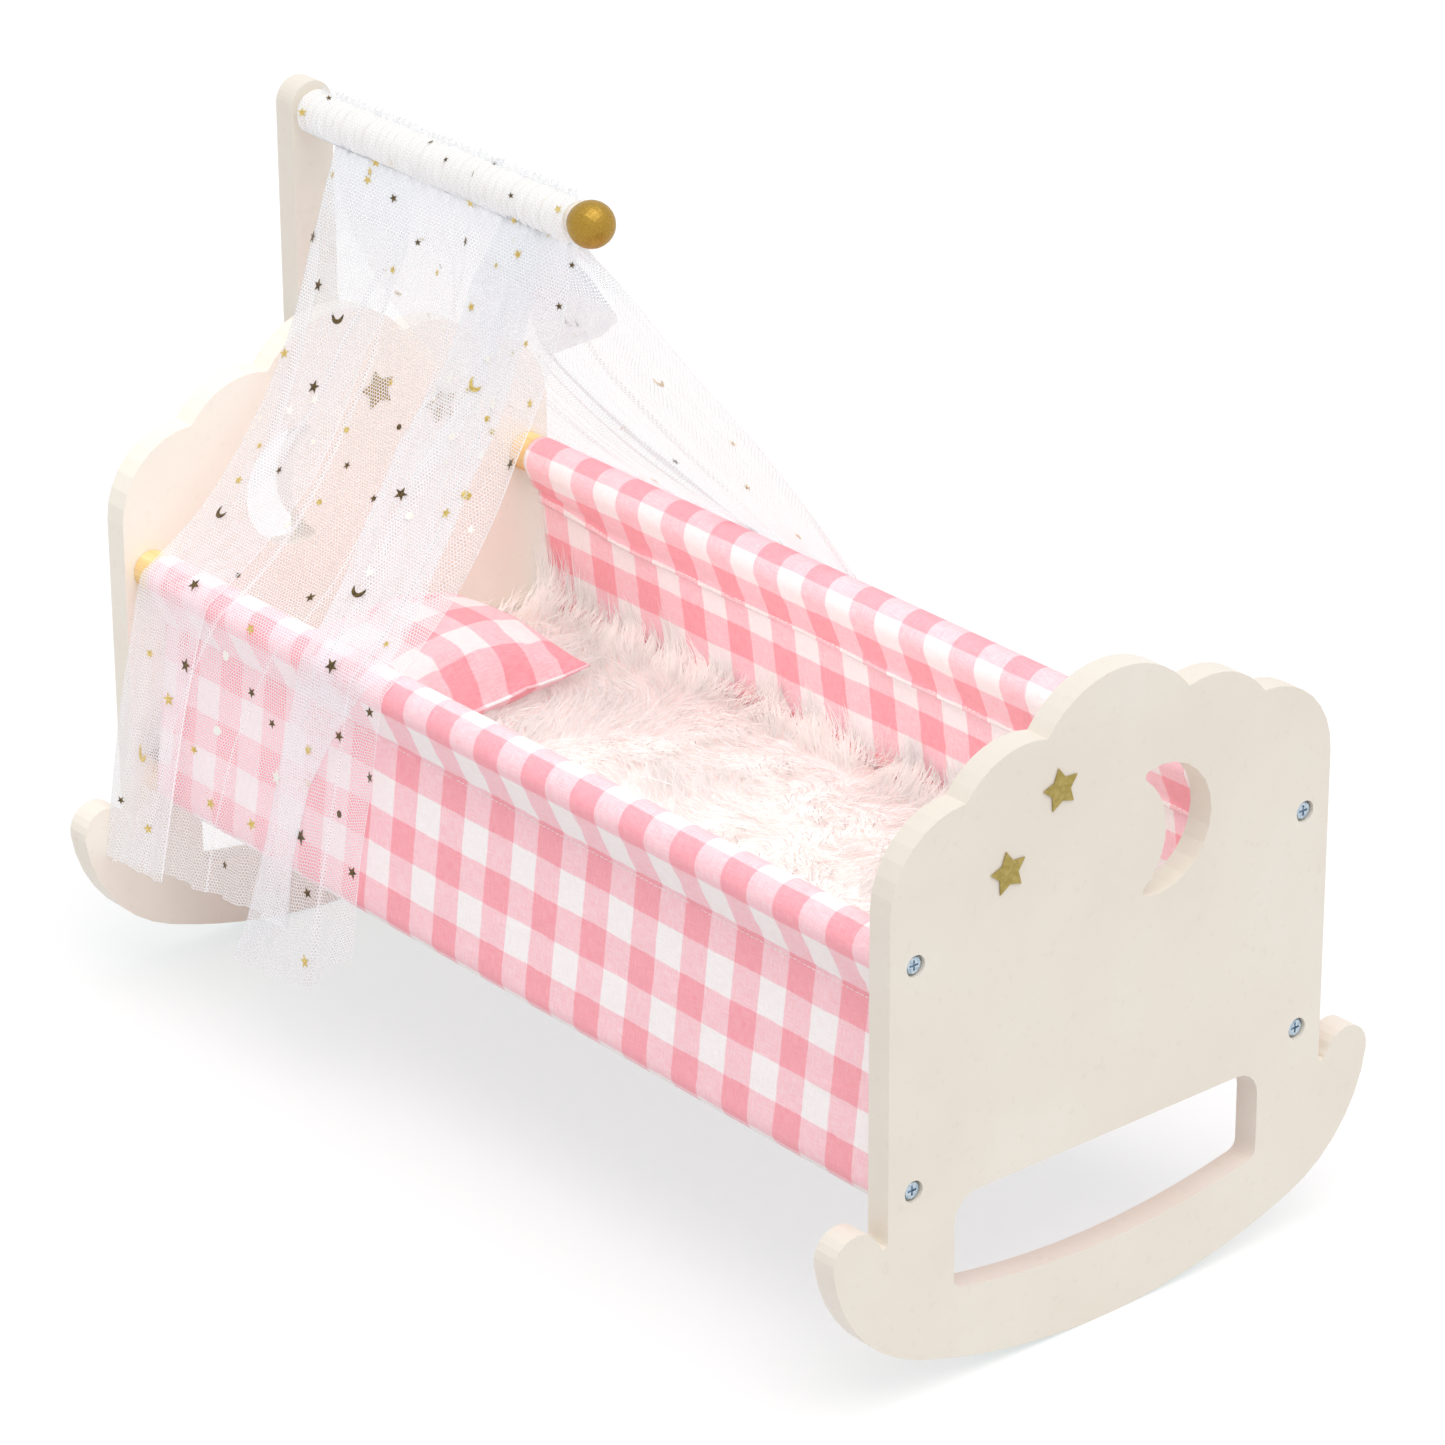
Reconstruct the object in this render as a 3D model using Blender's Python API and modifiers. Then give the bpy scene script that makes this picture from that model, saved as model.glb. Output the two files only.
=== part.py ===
# Doll cot: a rocking cradle with a gingham sling between two cloud-topped
# end panels, and a net canopy hung on a rod at the head end.
# +X runs from the head to the foot, +Z is up, and the cot stands on z = 0.
import math

import bmesh
import bpy

# Fits, in metres as all lengths here
FIT_GAP = 0.0003            # left wherever two pieces meet
CUT_OVERRUN = 0.002         # how far a cutter reaches past the face it cuts
WELD = 0.00001              # merges the loose caps of a filled curve

# End panels, cut from board and alike but for the side that the moon is on
PANEL_THICKNESS = 0.012
PANEL_WIDTH = 0.240
PANEL_TOP = 0.2925          # top of the middle lobe above the floor
INNER_LENGTH = 0.500        # clear length between the panels
EDGE_ROUND = 0.0025
MIDDLE_LOBE_RADIUS = 0.0478
SECOND_LOBE_RADIUS = 0.0395
SECOND_LOBE_Y = 0.049
SECOND_LOBE_DROP = 0.0573   # its centre below the panel's top
OUTER_LOBE_RADIUS = 0.038
OUTER_LOBE_DROP = 0.072
NOTCH_RADIUS = 0.002        # the cut between a panel's side and its rocker ear
NOTCH_ABOVE_EAR = 0.0027    # its height above the ear's centre

# Rockers, in one piece with the panels
ROCKER_RADIUS = 0.300
ROCKER_STEP = math.radians(2.3)
EAR_REACH = 0.029           # rocker's end beyond the panel's side
SHOULDER_RADIUS = 0.068     # the arc that lifts the rocker's end into its ear
EAR_RADIUS = 0.012
EAR_HEIGHT = 0.0753         # of the ear's centre
EAR_INNER_ANGLE = math.radians(160)

# Rails between the panels
RAIL_RADIUS = 0.009
RAIL_INSET = 0.0135         # rail's axis inside the panel's side
LOWER_RAIL_HEIGHT = 0.0965
UPPER_RAIL_RISE = 0.100     # above the lower rails

# Hand slot in each rocker
SLOT_INSET = 0.0355         # slot's end inside the panel's side
SLOT_BELOW_RAIL = 0.011
SLOT_CORNER_RADIUS = 0.012
SLOT_FOOT_RADIUS = 0.005
SLOT_FLOOR_RADIUS = 0.400
ROCKER_DEPTH = 0.035        # board left under the slot's middle

# Moon cut-outs
MOON_OUTER_RADIUS = 0.0286
MOON_INNER_RADIUS = 0.0305
MOON_OUTER_Y = 0.024
MOON_INNER_Y = -0.003
MOON_DROP = 0.078           # its middle below the panel's top
MOON_TIP_RADIUS = 0.0023

# Gold stars: two outside the foot panel, two inside the headboard
STAR_THICKNESS = 0.0004
STAR_TIP_RADIUS = 0.0096
STAR_NOTCH_RADIUS = 0.0052
STAR_TURN = math.radians(8.8)
STAR_POINTS = 5
FOOT_STAR_UPPER = (-0.0312, 0.0430)     # across, and below the panel's top
FOOT_STAR_LOWER = (-0.0585, 0.0707)
HEAD_STAR_UPPER = (0.0225, 0.0440)
HEAD_STAR_LOWER = (0.0583, 0.0609)

# Cross-head screws
SCREW_HEAD_RADIUS = 0.0041
SCREW_HEAD_DEPTH = 0.0020
SCREW_DOME = 0.0006
SCREW_SHANK_RADIUS = 0.0019
RAIL_SCREW_LENGTH = 0.030   # shank of the screws that hold the rails
POST_SCREW_LENGTH = 0.0165  # shank of the screws that hold the post
ROD_SCREW_LENGTH = 0.026    # shank of the screw that holds the rod
SCREW_TIP = 0.003
CROSS_LENGTH = 0.0046
CROSS_WIDTH = 0.0009
CROSS_DEPTH = 0.0011
SEAT_RADIUS = 0.0048        # counterbore for a screw head
SEAT_DEPTH = 0.0034
SCREW_SIDES = 12
SEAT_SIDES = 20

# Sling, one cloth from the near rail under the base to the far rail
CLOTH_THICKNESS = 0.0006
SEAM_DROP = 0.024           # stitched seam below the upper rail's axis
SLING_HEAD_SETBACK = 0.0115 # bare rail that shows beside the headboard
SLING_FOOT_SETBACK = 0.001
RAIL_SIDES = 24

# Base board, fur mat and pillow
BASE_THICKNESS = 0.004
BASE_SIDE_GAP = 0.001       # to the sling on each side
BASE_END_GAP = 0.001
BASE_CORNER = 0.0015
MAT_THICKNESS = 0.012
MAT_SIDE_GAP = 0.0016
MAT_END_GAP = 0.002
MAT_ROUND = 0.004           # how far its top edge falls away
PILLOW_LENGTH = 0.090       # along the cot
PILLOW_WIDTH = 0.140
PILLOW_CROWN = 0.025        # above its seam
PILLOW_BELLY = 0.009        # below its seam
PILLOW_PINCH = 0.004        # how far each side is drawn in between corners
PILLOW_HEAD_GAP = 0.0045    # its nearest corner from the headboard
PILLOW_OFFSET = -0.009
PILLOW_TURN = math.radians(7)
PILLOW_CUTS = 9
MAT_CUTS = 5

# Canopy post, rod and ball
POST_WIDTH = 0.022
POST_THICKNESS = 0.012
POST_EDGE_ROUND = 0.0015
POST_OVERLAP = 0.160        # length behind the headboard
POST_FOOT_ROUND = 0.004
POST_TOP_ABOVE_ROD = 0.0125
POST_SCREW_DROP = 0.030     # upper screw below the headboard's top
POST_SCREW_SPACING = 0.100
ROD_ABOVE_PANEL = 0.093     # rod's axis above the panel's top
ROD_RADIUS = 0.0075
ROD_LENGTH = 0.189
TENON_RADIUS = 0.0035
TENON_LENGTH = 0.008
BALL_LIP = 0.003            # how far the ball stands out past the rod
BALL_RINGS = 14

# Canopy net, one sheet: near hem, near rail, a sleeve round the rod, far rail, far hem
NET_THICKNESS = 0.0008
NET_REST_GAP = 0.0006
NET_SLEEVE_EASE = 0.0009    # the sleeve hangs this much below the rod's axis
NET_FOLDS = 4
NET_ROD_FOLD = 0.0022       # depth of the gathers on the rod
NET_RUN_FOLD = 0.0060       # between rod and rail
NET_HEM_FOLD = 0.0100
NET_HEAD_GAP = 0.0030       # between the net and the wood at its head edge
NET_PINCH_GAP = 0.0006      # left between the two layers below the rod
NET_PINCH_DROP = 0.0025     # the sleeve closes this far below the rod
NET_SAG = 0.023             # of each run, at its middle
NET_NEAR_FOOT_SHIFT = 0.005 # foot edge at the near rail, from the rod's end
NET_HEAD_SHIFT = 0.010      # head edge at each rail, from where it hangs at rod and hem
NET_FAR_FOOT_SHIFT = 0.045
NET_HEM_HEIGHT = 0.070      # above the floor
NET_STRIP_DROP = 0.020      # the near hem's foot half hangs this much lower
NET_CORNER_LIFT = 0.028     # and its last corner this much higher again
NET_STRIP_SHARE = 0.55      # where along the near hem that half starts
NET_STRIP_BLEND_SHARE = 0.05
NET_CORNER_SHARE = 0.82
NET_FLARE = 0.014           # the hem stands out from the rail by this
NET_EAR_FLARE = 0.006       # and by this more at the head end
NET_COLUMNS = 21
NET_FALL_STEPS = 2
NET_RAIL_STEPS = 2
NET_RUN_STEPS = 4
NET_ROD_STEPS = 5

# Places that follow from the sizes
POST_STAND_OFF = FIT_GAP + POST_THICKNESS
STAR_STAND_OFF = FIT_GAP + STAR_THICKNESS
LENGTH = POST_STAND_OFF + 2 * PANEL_THICKNESS + INNER_LENGTH + STAR_STAND_OFF
FOOT_OUTER_X = LENGTH / 2 - STAR_STAND_OFF
FOOT_INNER_X = FOOT_OUTER_X - PANEL_THICKNESS
HEAD_INNER_X = FOOT_INNER_X - INNER_LENGTH
HEAD_OUTER_X = HEAD_INNER_X - PANEL_THICKNESS
POST_FRONT_X = HEAD_OUTER_X - FIT_GAP
POST_BACK_X = POST_FRONT_X - POST_THICKNESS
RAIL_Y = PANEL_WIDTH / 2 - RAIL_INSET
UPPER_RAIL_HEIGHT = LOWER_RAIL_HEIGHT + UPPER_RAIL_RISE
ROD_HEIGHT = PANEL_TOP + ROD_ABOVE_PANEL
ROD_START_X = POST_FRONT_X + FIT_GAP
ROD_END_X = ROD_START_X + ROD_LENGTH
BALL_RADIUS = ROD_RADIUS + BALL_LIP
BALL_SEAT = math.sqrt(BALL_RADIUS ** 2 - ROD_RADIUS ** 2)
BALL_X = ROD_END_X + FIT_GAP + BALL_SEAT
CLOTH_INNER_RADIUS = RAIL_RADIUS + FIT_GAP
CLOTH_OUTER_RADIUS = CLOTH_INNER_RADIUS + CLOTH_THICKNESS
BASE_BOTTOM = LOWER_RAIL_HEIGHT + RAIL_RADIUS + FIT_GAP
MAT_BOTTOM = BASE_BOTTOM + BASE_THICKNESS + FIT_GAP
MAT_TOP = MAT_BOTTOM + MAT_THICKNESS
PILLOW_SEAM = MAT_TOP + FIT_GAP + PILLOW_BELLY
SCREW_SINK = SEAT_DEPTH - SCREW_HEAD_DEPTH - FIT_GAP
PILOT_RADIUS = SCREW_SHANK_RADIUS + FIT_GAP
FACE_UP_X = (math.pi / 2, 0, math.pi / 2)     # turns an outline's XY plane into YZ


# Scene, collections and finishes

def clear_scene():
    for obj in list(bpy.data.objects):
        bpy.data.objects.remove(obj, do_unlink=True)


def new_collection(name):
    group = bpy.data.collections.new(name)
    bpy.context.scene.collection.children.link(group)
    return group


def finish(name, colour, roughness, metallic=0.0):
    mat = bpy.data.materials.new(name)
    mat.use_nodes = True
    shader = mat.node_tree.nodes["Principled BSDF"]
    shader.inputs["Base Color"].default_value = (*colour, 1.0)
    shader.inputs["Roughness"].default_value = roughness
    shader.inputs["Metallic"].default_value = metallic
    return mat


clear_scene()
COT = new_collection("doll_cot")
CUTTERS = new_collection("cutters")
CREAM_PAINT = finish("cream paint", (0.84, 0.80, 0.71), 0.45)
GOLD_PAINT = finish("gold paint", (0.42, 0.27, 0.04), 0.35, 0.6)
GOLD_FOIL = finish("gold foil", (0.40, 0.30, 0.09), 0.40, 0.7)
BARE_WOOD = finish("bare wood", (0.90, 0.66, 0.36), 0.60)
ZINC = finish("zinc plate", (0.58, 0.63, 0.68), 0.35, 1.0)
GINGHAM = finish("pink gingham", (0.93, 0.45, 0.50), 0.85)
WHITE_FUR = finish("white fur", (0.93, 0.88, 0.85), 0.95)
WHITE_NET = finish("white net", (0.92, 0.92, 0.95), 0.70)
HARDBOARD = finish("hardboard", (0.35, 0.24, 0.15), 0.75)


# Points and outlines, as pairs across the cot and up

def arc(centre, radius, start, end, steps):
    points = []
    for i in range(steps + 1):
        angle = start + (end - start) * i / steps
        points.append((centre[0] + radius * math.cos(angle), centre[1] + radius * math.sin(angle)))
    return points


def angle_to(centre, point):
    return math.atan2(point[1] - centre[1], point[0] - centre[0])


def circles_meet(first, first_radius, second, second_radius, upper):
    # the higher or the lower point where two circles cross
    across = second[0] - first[0]
    rise = second[1] - first[1]
    distance = math.hypot(across, rise)
    along = (distance ** 2 + first_radius ** 2 - second_radius ** 2) / (2 * distance)
    off = math.sqrt(first_radius ** 2 - along ** 2)
    middle = (first[0] + along * across / distance, first[1] + along * rise / distance)
    one = (middle[0] - off * rise / distance, middle[1] + off * across / distance)
    two = (middle[0] + off * rise / distance, middle[1] - off * across / distance)
    if (one[1] > two[1]) == upper:
        return one
    return two


def mirrored(half):
    # a half outline on the +Y side, from its top to its bottom, made whole
    whole = list(half)
    for across, up in reversed(half):
        if across > WELD:
            whole.append((-across, up))
    return whole


def flipped(points):
    return [(-across, up) for across, up in points]


def panel_outline():
    middle = (0, PANEL_TOP - MIDDLE_LOBE_RADIUS)
    second = (SECOND_LOBE_Y, PANEL_TOP - SECOND_LOBE_DROP)
    outer = (PANEL_WIDTH / 2 - OUTER_LOBE_RADIUS, PANEL_TOP - OUTER_LOBE_DROP)
    first_cusp = circles_meet(middle, MIDDLE_LOBE_RADIUS, second, SECOND_LOBE_RADIUS, True)
    second_cusp = circles_meet(second, SECOND_LOBE_RADIUS, outer, OUTER_LOBE_RADIUS, True)
    half = arc(middle, MIDDLE_LOBE_RADIUS, math.pi / 2, angle_to(middle, first_cusp), 7)
    half += arc(second, SECOND_LOBE_RADIUS, angle_to(second, first_cusp), angle_to(second, second_cusp), 8)[1:]
    half += arc(outer, OUTER_LOBE_RADIUS, angle_to(outer, second_cusp), 0, 8)[1:]

    notch = (PANEL_WIDTH / 2 + NOTCH_RADIUS, EAR_HEIGHT + NOTCH_ABOVE_EAR)
    half += arc(notch, NOTCH_RADIUS, math.pi, 2 * math.pi, 4)

    rocker = (0, ROCKER_RADIUS * math.cos(ROCKER_STEP / 2))
    reach = ROCKER_RADIUS - SHOULDER_RADIUS
    shoulder_y = PANEL_WIDTH / 2 + EAR_REACH - SHOULDER_RADIUS
    shoulder = (shoulder_y, rocker[1] - math.sqrt(reach ** 2 - shoulder_y ** 2))
    ear_reach = SHOULDER_RADIUS - EAR_RADIUS
    ear_turn = math.asin((EAR_HEIGHT - shoulder[1]) / ear_reach)
    ear = (shoulder[0] + ear_reach * math.cos(ear_turn), EAR_HEIGHT)
    half += arc(ear, EAR_RADIUS, EAR_INNER_ANGLE, ear_turn, 10)
    rocker_turn = angle_to(rocker, shoulder)
    half += arc(shoulder, SHOULDER_RADIUS, ear_turn, rocker_turn, 7)[1:]

    lowest = -math.pi / 2
    steps = int((rocker_turn - lowest) / ROCKER_STEP - 0.5)
    for i in range(steps, -1, -1):
        turn = lowest + (i + 0.5) * ROCKER_STEP
        half.append((ROCKER_RADIUS * math.cos(turn), rocker[1] + ROCKER_RADIUS * math.sin(turn)))
    return mirrored(half)


def slot_outline():
    side = PANEL_WIDTH / 2 - SLOT_INSET
    top = LOWER_RAIL_HEIGHT - SLOT_BELOW_RAIL
    corner = (side - SLOT_CORNER_RADIUS, top - SLOT_CORNER_RADIUS)
    floor = (0, ROCKER_DEPTH + SLOT_FLOOR_RADIUS)
    reach = SLOT_FLOOR_RADIUS - SLOT_FOOT_RADIUS
    foot_y = side - SLOT_FOOT_RADIUS
    foot = (foot_y, floor[1] - math.sqrt(reach ** 2 - foot_y ** 2))
    floor_turn = angle_to(floor, foot)
    half = arc(corner, SLOT_CORNER_RADIUS, math.pi / 2, 0, 5)
    half += arc(foot, SLOT_FOOT_RADIUS, 0, floor_turn, 4)
    half += arc(floor, SLOT_FLOOR_RADIUS, floor_turn, -math.pi / 2, 5)[1:]
    return mirrored(half)


def moon_outline():
    height = PANEL_TOP - MOON_DROP
    outer = (MOON_OUTER_Y, height)
    inner = (MOON_INNER_Y, height)
    points = []
    for upper in (True, False):
        tip = circles_meet(outer, MOON_OUTER_RADIUS - MOON_TIP_RADIUS,
                           inner, MOON_INNER_RADIUS + MOON_TIP_RADIUS, upper)
        outer_turn = angle_to(outer, tip)
        inner_turn = angle_to(inner, tip)
        if upper:
            points += arc(inner, MOON_INNER_RADIUS, -inner_turn, inner_turn, 10)
            points += arc(tip, MOON_TIP_RADIUS, inner_turn + math.pi, outer_turn, 3)[1:]
            points += arc(outer, MOON_OUTER_RADIUS, outer_turn, -outer_turn, 14)[1:]
        else:
            points += arc(tip, MOON_TIP_RADIUS, outer_turn, inner_turn - math.pi, 3)[1:-1]
    return points


def star_outline(place):
    points = []
    for i in range(2 * STAR_POINTS):
        turn = math.pi / 2 + STAR_TURN + i * math.pi / STAR_POINTS
        radius = STAR_NOTCH_RADIUS if i % 2 else STAR_TIP_RADIUS
        points.append((place[0] + radius * math.cos(turn), PANEL_TOP - place[1] + radius * math.sin(turn)))
    return points


def post_outline():
    half_width = POST_WIDTH / 2
    crown = (0, ROD_HEIGHT + POST_TOP_ABOVE_ROD - half_width)
    bottom = PANEL_TOP - POST_OVERLAP
    foot = (half_width - POST_FOOT_ROUND, bottom + POST_FOOT_ROUND)
    half = arc(crown, half_width, math.pi / 2, 0, 8)
    half += arc(foot, POST_FOOT_ROUND, 0, -math.pi / 2, 3)
    return mirrored(half)


# Solids

def to_mesh(curve_object, group):
    # the curve's caps are loose until their doubles are merged
    depsgraph = bpy.context.evaluated_depsgraph_get()
    mesh = bpy.data.meshes.new_from_object(curve_object.evaluated_get(depsgraph))
    body = bmesh.new()
    body.from_mesh(mesh)
    bmesh.ops.remove_doubles(body, verts=body.verts, dist=WELD)
    bmesh.ops.recalc_face_normals(body, faces=body.faces)
    body.to_mesh(mesh)
    body.free()
    obj = bpy.data.objects.new(curve_object.name, mesh)
    obj.matrix_world = curve_object.matrix_world
    group.objects.link(obj)
    name = curve_object.name
    bpy.data.objects.remove(curve_object, do_unlink=True)
    obj.name = name
    return obj


def plate(name, outlines, thickness, middle_x, mat, group=None):
    # a flat board in the YZ plane, with any further outlines as its holes
    group = group or COT
    data = bpy.data.curves.new(name, "CURVE")
    data.dimensions = "2D"
    data.fill_mode = "BOTH"
    data.extrude = thickness / 2
    for points in outlines:
        spline = data.splines.new("POLY")
        spline.points.add(len(points) - 1)
        for point, (across, up) in zip(spline.points, points):
            point.co = (across, up, 0, 1)
        spline.use_cyclic_u = True
    obj = bpy.data.objects.new(name, data)
    obj.rotation_euler = FACE_UP_X
    obj.location = (middle_x, 0, 0)
    group.objects.link(obj)
    bpy.context.view_layer.update()
    obj = to_mesh(obj, group)
    if mat:
        obj.data.materials.append(mat)
    return obj


def round_rims(obj, width):
    # rounds the edges between a board's faces and its cut sides
    mesh = obj.data
    weights = mesh.attributes.new("bevel_weight_edge", "FLOAT", "EDGE")
    face = max(abs(v.co.z) for v in mesh.vertices)
    outline = {}
    for polygon in mesh.polygons:
        flat = abs(polygon.normal.z) > 0.5
        for key in polygon.edge_keys:
            outline.setdefault(key, set()).add(flat)
    for edge in mesh.edges:
        level = all(abs(abs(mesh.vertices[v].co.z) - face) < WELD for v in edge.vertices)
        if level and len(outline[edge.key]) == 2:
            weights.data[edge.index].value = 1.0
    bevel = obj.modifiers.new("rounded rims", "BEVEL")
    bevel.limit_method = "WEIGHT"
    bevel.width = width
    bevel.segments = 2
    bevel.use_clamp_overlap = True


def rod_along_x(name, radius, start, end, across, up, sides, mat=None, group=None):
    bpy.ops.mesh.primitive_cylinder_add(vertices=sides, radius=radius, depth=end - start)
    obj = bpy.context.object
    obj.name = name
    obj.location = ((start + end) / 2, across, up)
    obj.rotation_euler = (0, math.pi / 2, 0)
    for old in list(obj.users_collection):
        old.objects.unlink(obj)
    (group or COT).objects.link(obj)
    smooth(obj)
    if mat:
        obj.data.materials.append(mat)
    return obj


def smooth(obj):
    obj.data.shade_smooth()
    obj.data.set_sharp_from_angle(angle=math.radians(35))


def cut(obj, cutter):
    cutter.hide_render = True
    cutter.display_type = "WIRE"
    change = obj.modifiers.new("cut " + cutter.name, "BOOLEAN")
    change.operation = "DIFFERENCE"
    change.solver = "EXACT"
    change.object = cutter


def turned(name, profile, steps, mat, group=None):
    # a profile of (radius, height) pairs from top to bottom, turned about Z
    mesh = bpy.data.meshes.new(name)
    points = [(radius, 0, height) for radius, height in profile]
    mesh.from_pydata(points, [(i, i + 1) for i in range(len(points) - 1)], [])
    obj = bpy.data.objects.new(name, mesh)
    (group or COT).objects.link(obj)
    spin = obj.modifiers.new("turn", "SCREW")
    spin.axis = "Z"
    spin.steps = steps
    spin.render_steps = steps
    spin.use_merge_vertices = True
    spin.merge_threshold = WELD
    spin.use_smooth_shade = True
    if mat:
        mesh.materials.append(mat)
    return obj


# Screws and their seats

def screw_mesh(length):
    # one screw with its head up and its head's underside at z = 0
    profile = [
        (0, SCREW_HEAD_DEPTH),
        (SCREW_HEAD_RADIUS - SCREW_DOME, SCREW_HEAD_DEPTH),
        (SCREW_HEAD_RADIUS, SCREW_HEAD_DEPTH - SCREW_DOME),
        (SCREW_HEAD_RADIUS, 0),
        (SCREW_SHANK_RADIUS, 0),
        (SCREW_SHANK_RADIUS, SCREW_TIP - length),
        (0, -length),
    ]
    blank = turned("screw_blank", profile, SCREW_SIDES, ZINC, CUTTERS)
    for turn in (0, math.pi / 2):
        bpy.ops.mesh.primitive_cube_add(size=1)
        arm = bpy.context.object
        arm.name = "cross_arm"
        arm.dimensions = (CROSS_LENGTH, CROSS_WIDTH, CROSS_DEPTH + CUT_OVERRUN)
        arm.location = (0, 0, SCREW_HEAD_DEPTH - CROSS_DEPTH + (CROSS_DEPTH + CUT_OVERRUN) / 2)
        arm.rotation_euler = (0, 0, turn)
        for old in list(arm.users_collection):
            old.objects.unlink(arm)
        CUTTERS.objects.link(arm)
        cut(blank, arm)
    bpy.context.view_layer.update()
    depsgraph = bpy.context.evaluated_depsgraph_get()
    mesh = bpy.data.meshes.new_from_object(blank.evaluated_get(depsgraph))
    for obj in [o for o in CUTTERS.objects if o.name.startswith(("screw_blank", "cross_arm"))]:
        bpy.data.objects.remove(obj, do_unlink=True)
    return mesh


def place_screw(name, mesh, face_x, outward, across, up):
    # the head faces outward, sunk in the board whose face is at face_x
    obj = bpy.data.objects.new(name, mesh)
    obj.location = (face_x - outward * (SCREW_SINK + SCREW_HEAD_DEPTH), across, up)
    obj.rotation_euler = (0, outward * math.pi / 2, 0)
    COT.objects.link(obj)
    return obj


def screw_hole(board, name, face_x, outward, across, up, back_x):
    # the counterbore and the clearance hole behind it, through to back_x
    seat_end = face_x - outward * SEAT_DEPTH
    mouth = face_x + outward * CUT_OVERRUN
    seat = rod_along_x("seat_" + name, SEAT_RADIUS, min(seat_end, mouth), max(seat_end, mouth),
                       across, up, SEAT_SIDES, None, CUTTERS)
    cut(board, seat)
    hole_end = back_x - outward * CUT_OVERRUN
    hole = rod_along_x("hole_" + name, PILOT_RADIUS, min(hole_end, mouth), max(hole_end, mouth),
                       across, up, SCREW_SIDES, None, CUTTERS)
    cut(board, hole)


def pilot_hole(body, name, mouth_x, inward, depth, across, up):
    start = mouth_x - inward * CUT_OVERRUN
    end = mouth_x + inward * depth
    hole = rod_along_x("pilot_" + name, PILOT_RADIUS, min(start, end), max(start, end),
                       across, up, SCREW_SIDES, None, CUTTERS)
    cut(body, hole)


# End panels

def make_panel(name, middle_x, outward):
    moon = moon_outline()
    if outward < 0:
        moon = flipped(moon)
    panel = plate(name, [panel_outline(), slot_outline(), moon], PANEL_THICKNESS, middle_x, CREAM_PAINT)
    round_rims(panel, EDGE_ROUND)
    face_x = middle_x + outward * PANEL_THICKNESS / 2
    back_x = middle_x - outward * PANEL_THICKNESS / 2
    for side in (-1, 1):
        for height in (LOWER_RAIL_HEIGHT, UPPER_RAIL_HEIGHT):
            screw_hole(panel, name, face_x, outward, side * RAIL_Y, height, back_x)
    return panel


def make_stars():
    foot_x = FOOT_OUTER_X + STAR_STAND_OFF - STAR_THICKNESS / 2
    head_x = HEAD_INNER_X + STAR_STAND_OFF - STAR_THICKNESS / 2
    plate("foot_star_upper", [star_outline(FOOT_STAR_UPPER)], STAR_THICKNESS, foot_x, GOLD_FOIL)
    plate("foot_star_lower", [star_outline(FOOT_STAR_LOWER)], STAR_THICKNESS, foot_x, GOLD_FOIL)
    plate("head_star_upper", [star_outline(HEAD_STAR_UPPER)], STAR_THICKNESS, head_x, GOLD_FOIL)
    plate("head_star_lower", [star_outline(HEAD_STAR_LOWER)], STAR_THICKNESS, head_x, GOLD_FOIL)


# Rails and their screws

def make_rails():
    start = HEAD_INNER_X + FIT_GAP
    end = FOOT_INNER_X - FIT_GAP
    board_left = PANEL_THICKNESS - SCREW_SINK - SCREW_HEAD_DEPTH
    depth = RAIL_SCREW_LENGTH - board_left
    mesh = screw_mesh(RAIL_SCREW_LENGTH)
    for level, height in (("lower", LOWER_RAIL_HEIGHT), ("upper", UPPER_RAIL_HEIGHT)):
        for side_name, side in (("near", -1), ("far", 1)):
            name = level + "_rail_" + side_name
            rail = rod_along_x(name, RAIL_RADIUS, start, end, side * RAIL_Y, height, RAIL_SIDES, BARE_WOOD)
            pilot_hole(rail, name, start, 1, depth, side * RAIL_Y, height)
            pilot_hole(rail, name, end, -1, depth, side * RAIL_Y, height)
            place_screw("foot_screw_" + level + "_" + side_name, mesh, FOOT_OUTER_X, 1, side * RAIL_Y, height)
            place_screw("head_screw_" + level + "_" + side_name, mesh, HEAD_OUTER_X, -1, side * RAIL_Y, height)


# Sling

def tangent_turn(radius, distance):
    # angle at a circle's centre between a point and the tangent drawn from it
    return math.acos(radius / distance)


def sling_outlines():
    upper = (RAIL_Y, UPPER_RAIL_HEIGHT)
    lower = (RAIL_Y, LOWER_RAIL_HEIGHT)
    seam = (RAIL_Y, UPPER_RAIL_HEIGHT - SEAM_DROP)
    down = -math.pi / 2
    wall = CLOTH_THICKNESS

    # the pocket round the upper rail, a circle drawn down to the seam
    outer_turn = tangent_turn(CLOTH_OUTER_RADIUS, SEAM_DROP)
    inner_turn = tangent_turn(CLOTH_INNER_RADIUS, SEAM_DROP - wall)
    bore = arc(upper, CLOTH_INNER_RADIUS, down + inner_turn, 2 * math.pi + down - inner_turn, 14)
    bore.append((seam[0], seam[1] + wall))

    # one layer from the seam round the lower rail and across the bottom
    below = seam[1] - lower[1]
    skin_turn = math.pi / 2 - tangent_turn(CLOTH_OUTER_RADIUS, below)
    lining_turn = math.pi / 2 - tangent_turn(CLOTH_INNER_RADIUS, below)
    half = arc(upper, CLOTH_OUTER_RADIUS, 2 * math.pi + down - outer_turn, down + outer_turn, 14)
    half.append((seam[0] + wall / 2, seam[1]))
    half += arc(lower, CLOTH_OUTER_RADIUS, skin_turn, down, 7)
    lining = arc(lower, CLOTH_INNER_RADIUS, down, lining_turn, 7)
    lining.append((seam[0] - wall / 2, seam[1] - wall))

    band = half + flipped(half)[::-1] + flipped(lining)[::-1] + lining
    return [band, bore, flipped(bore)]


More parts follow.
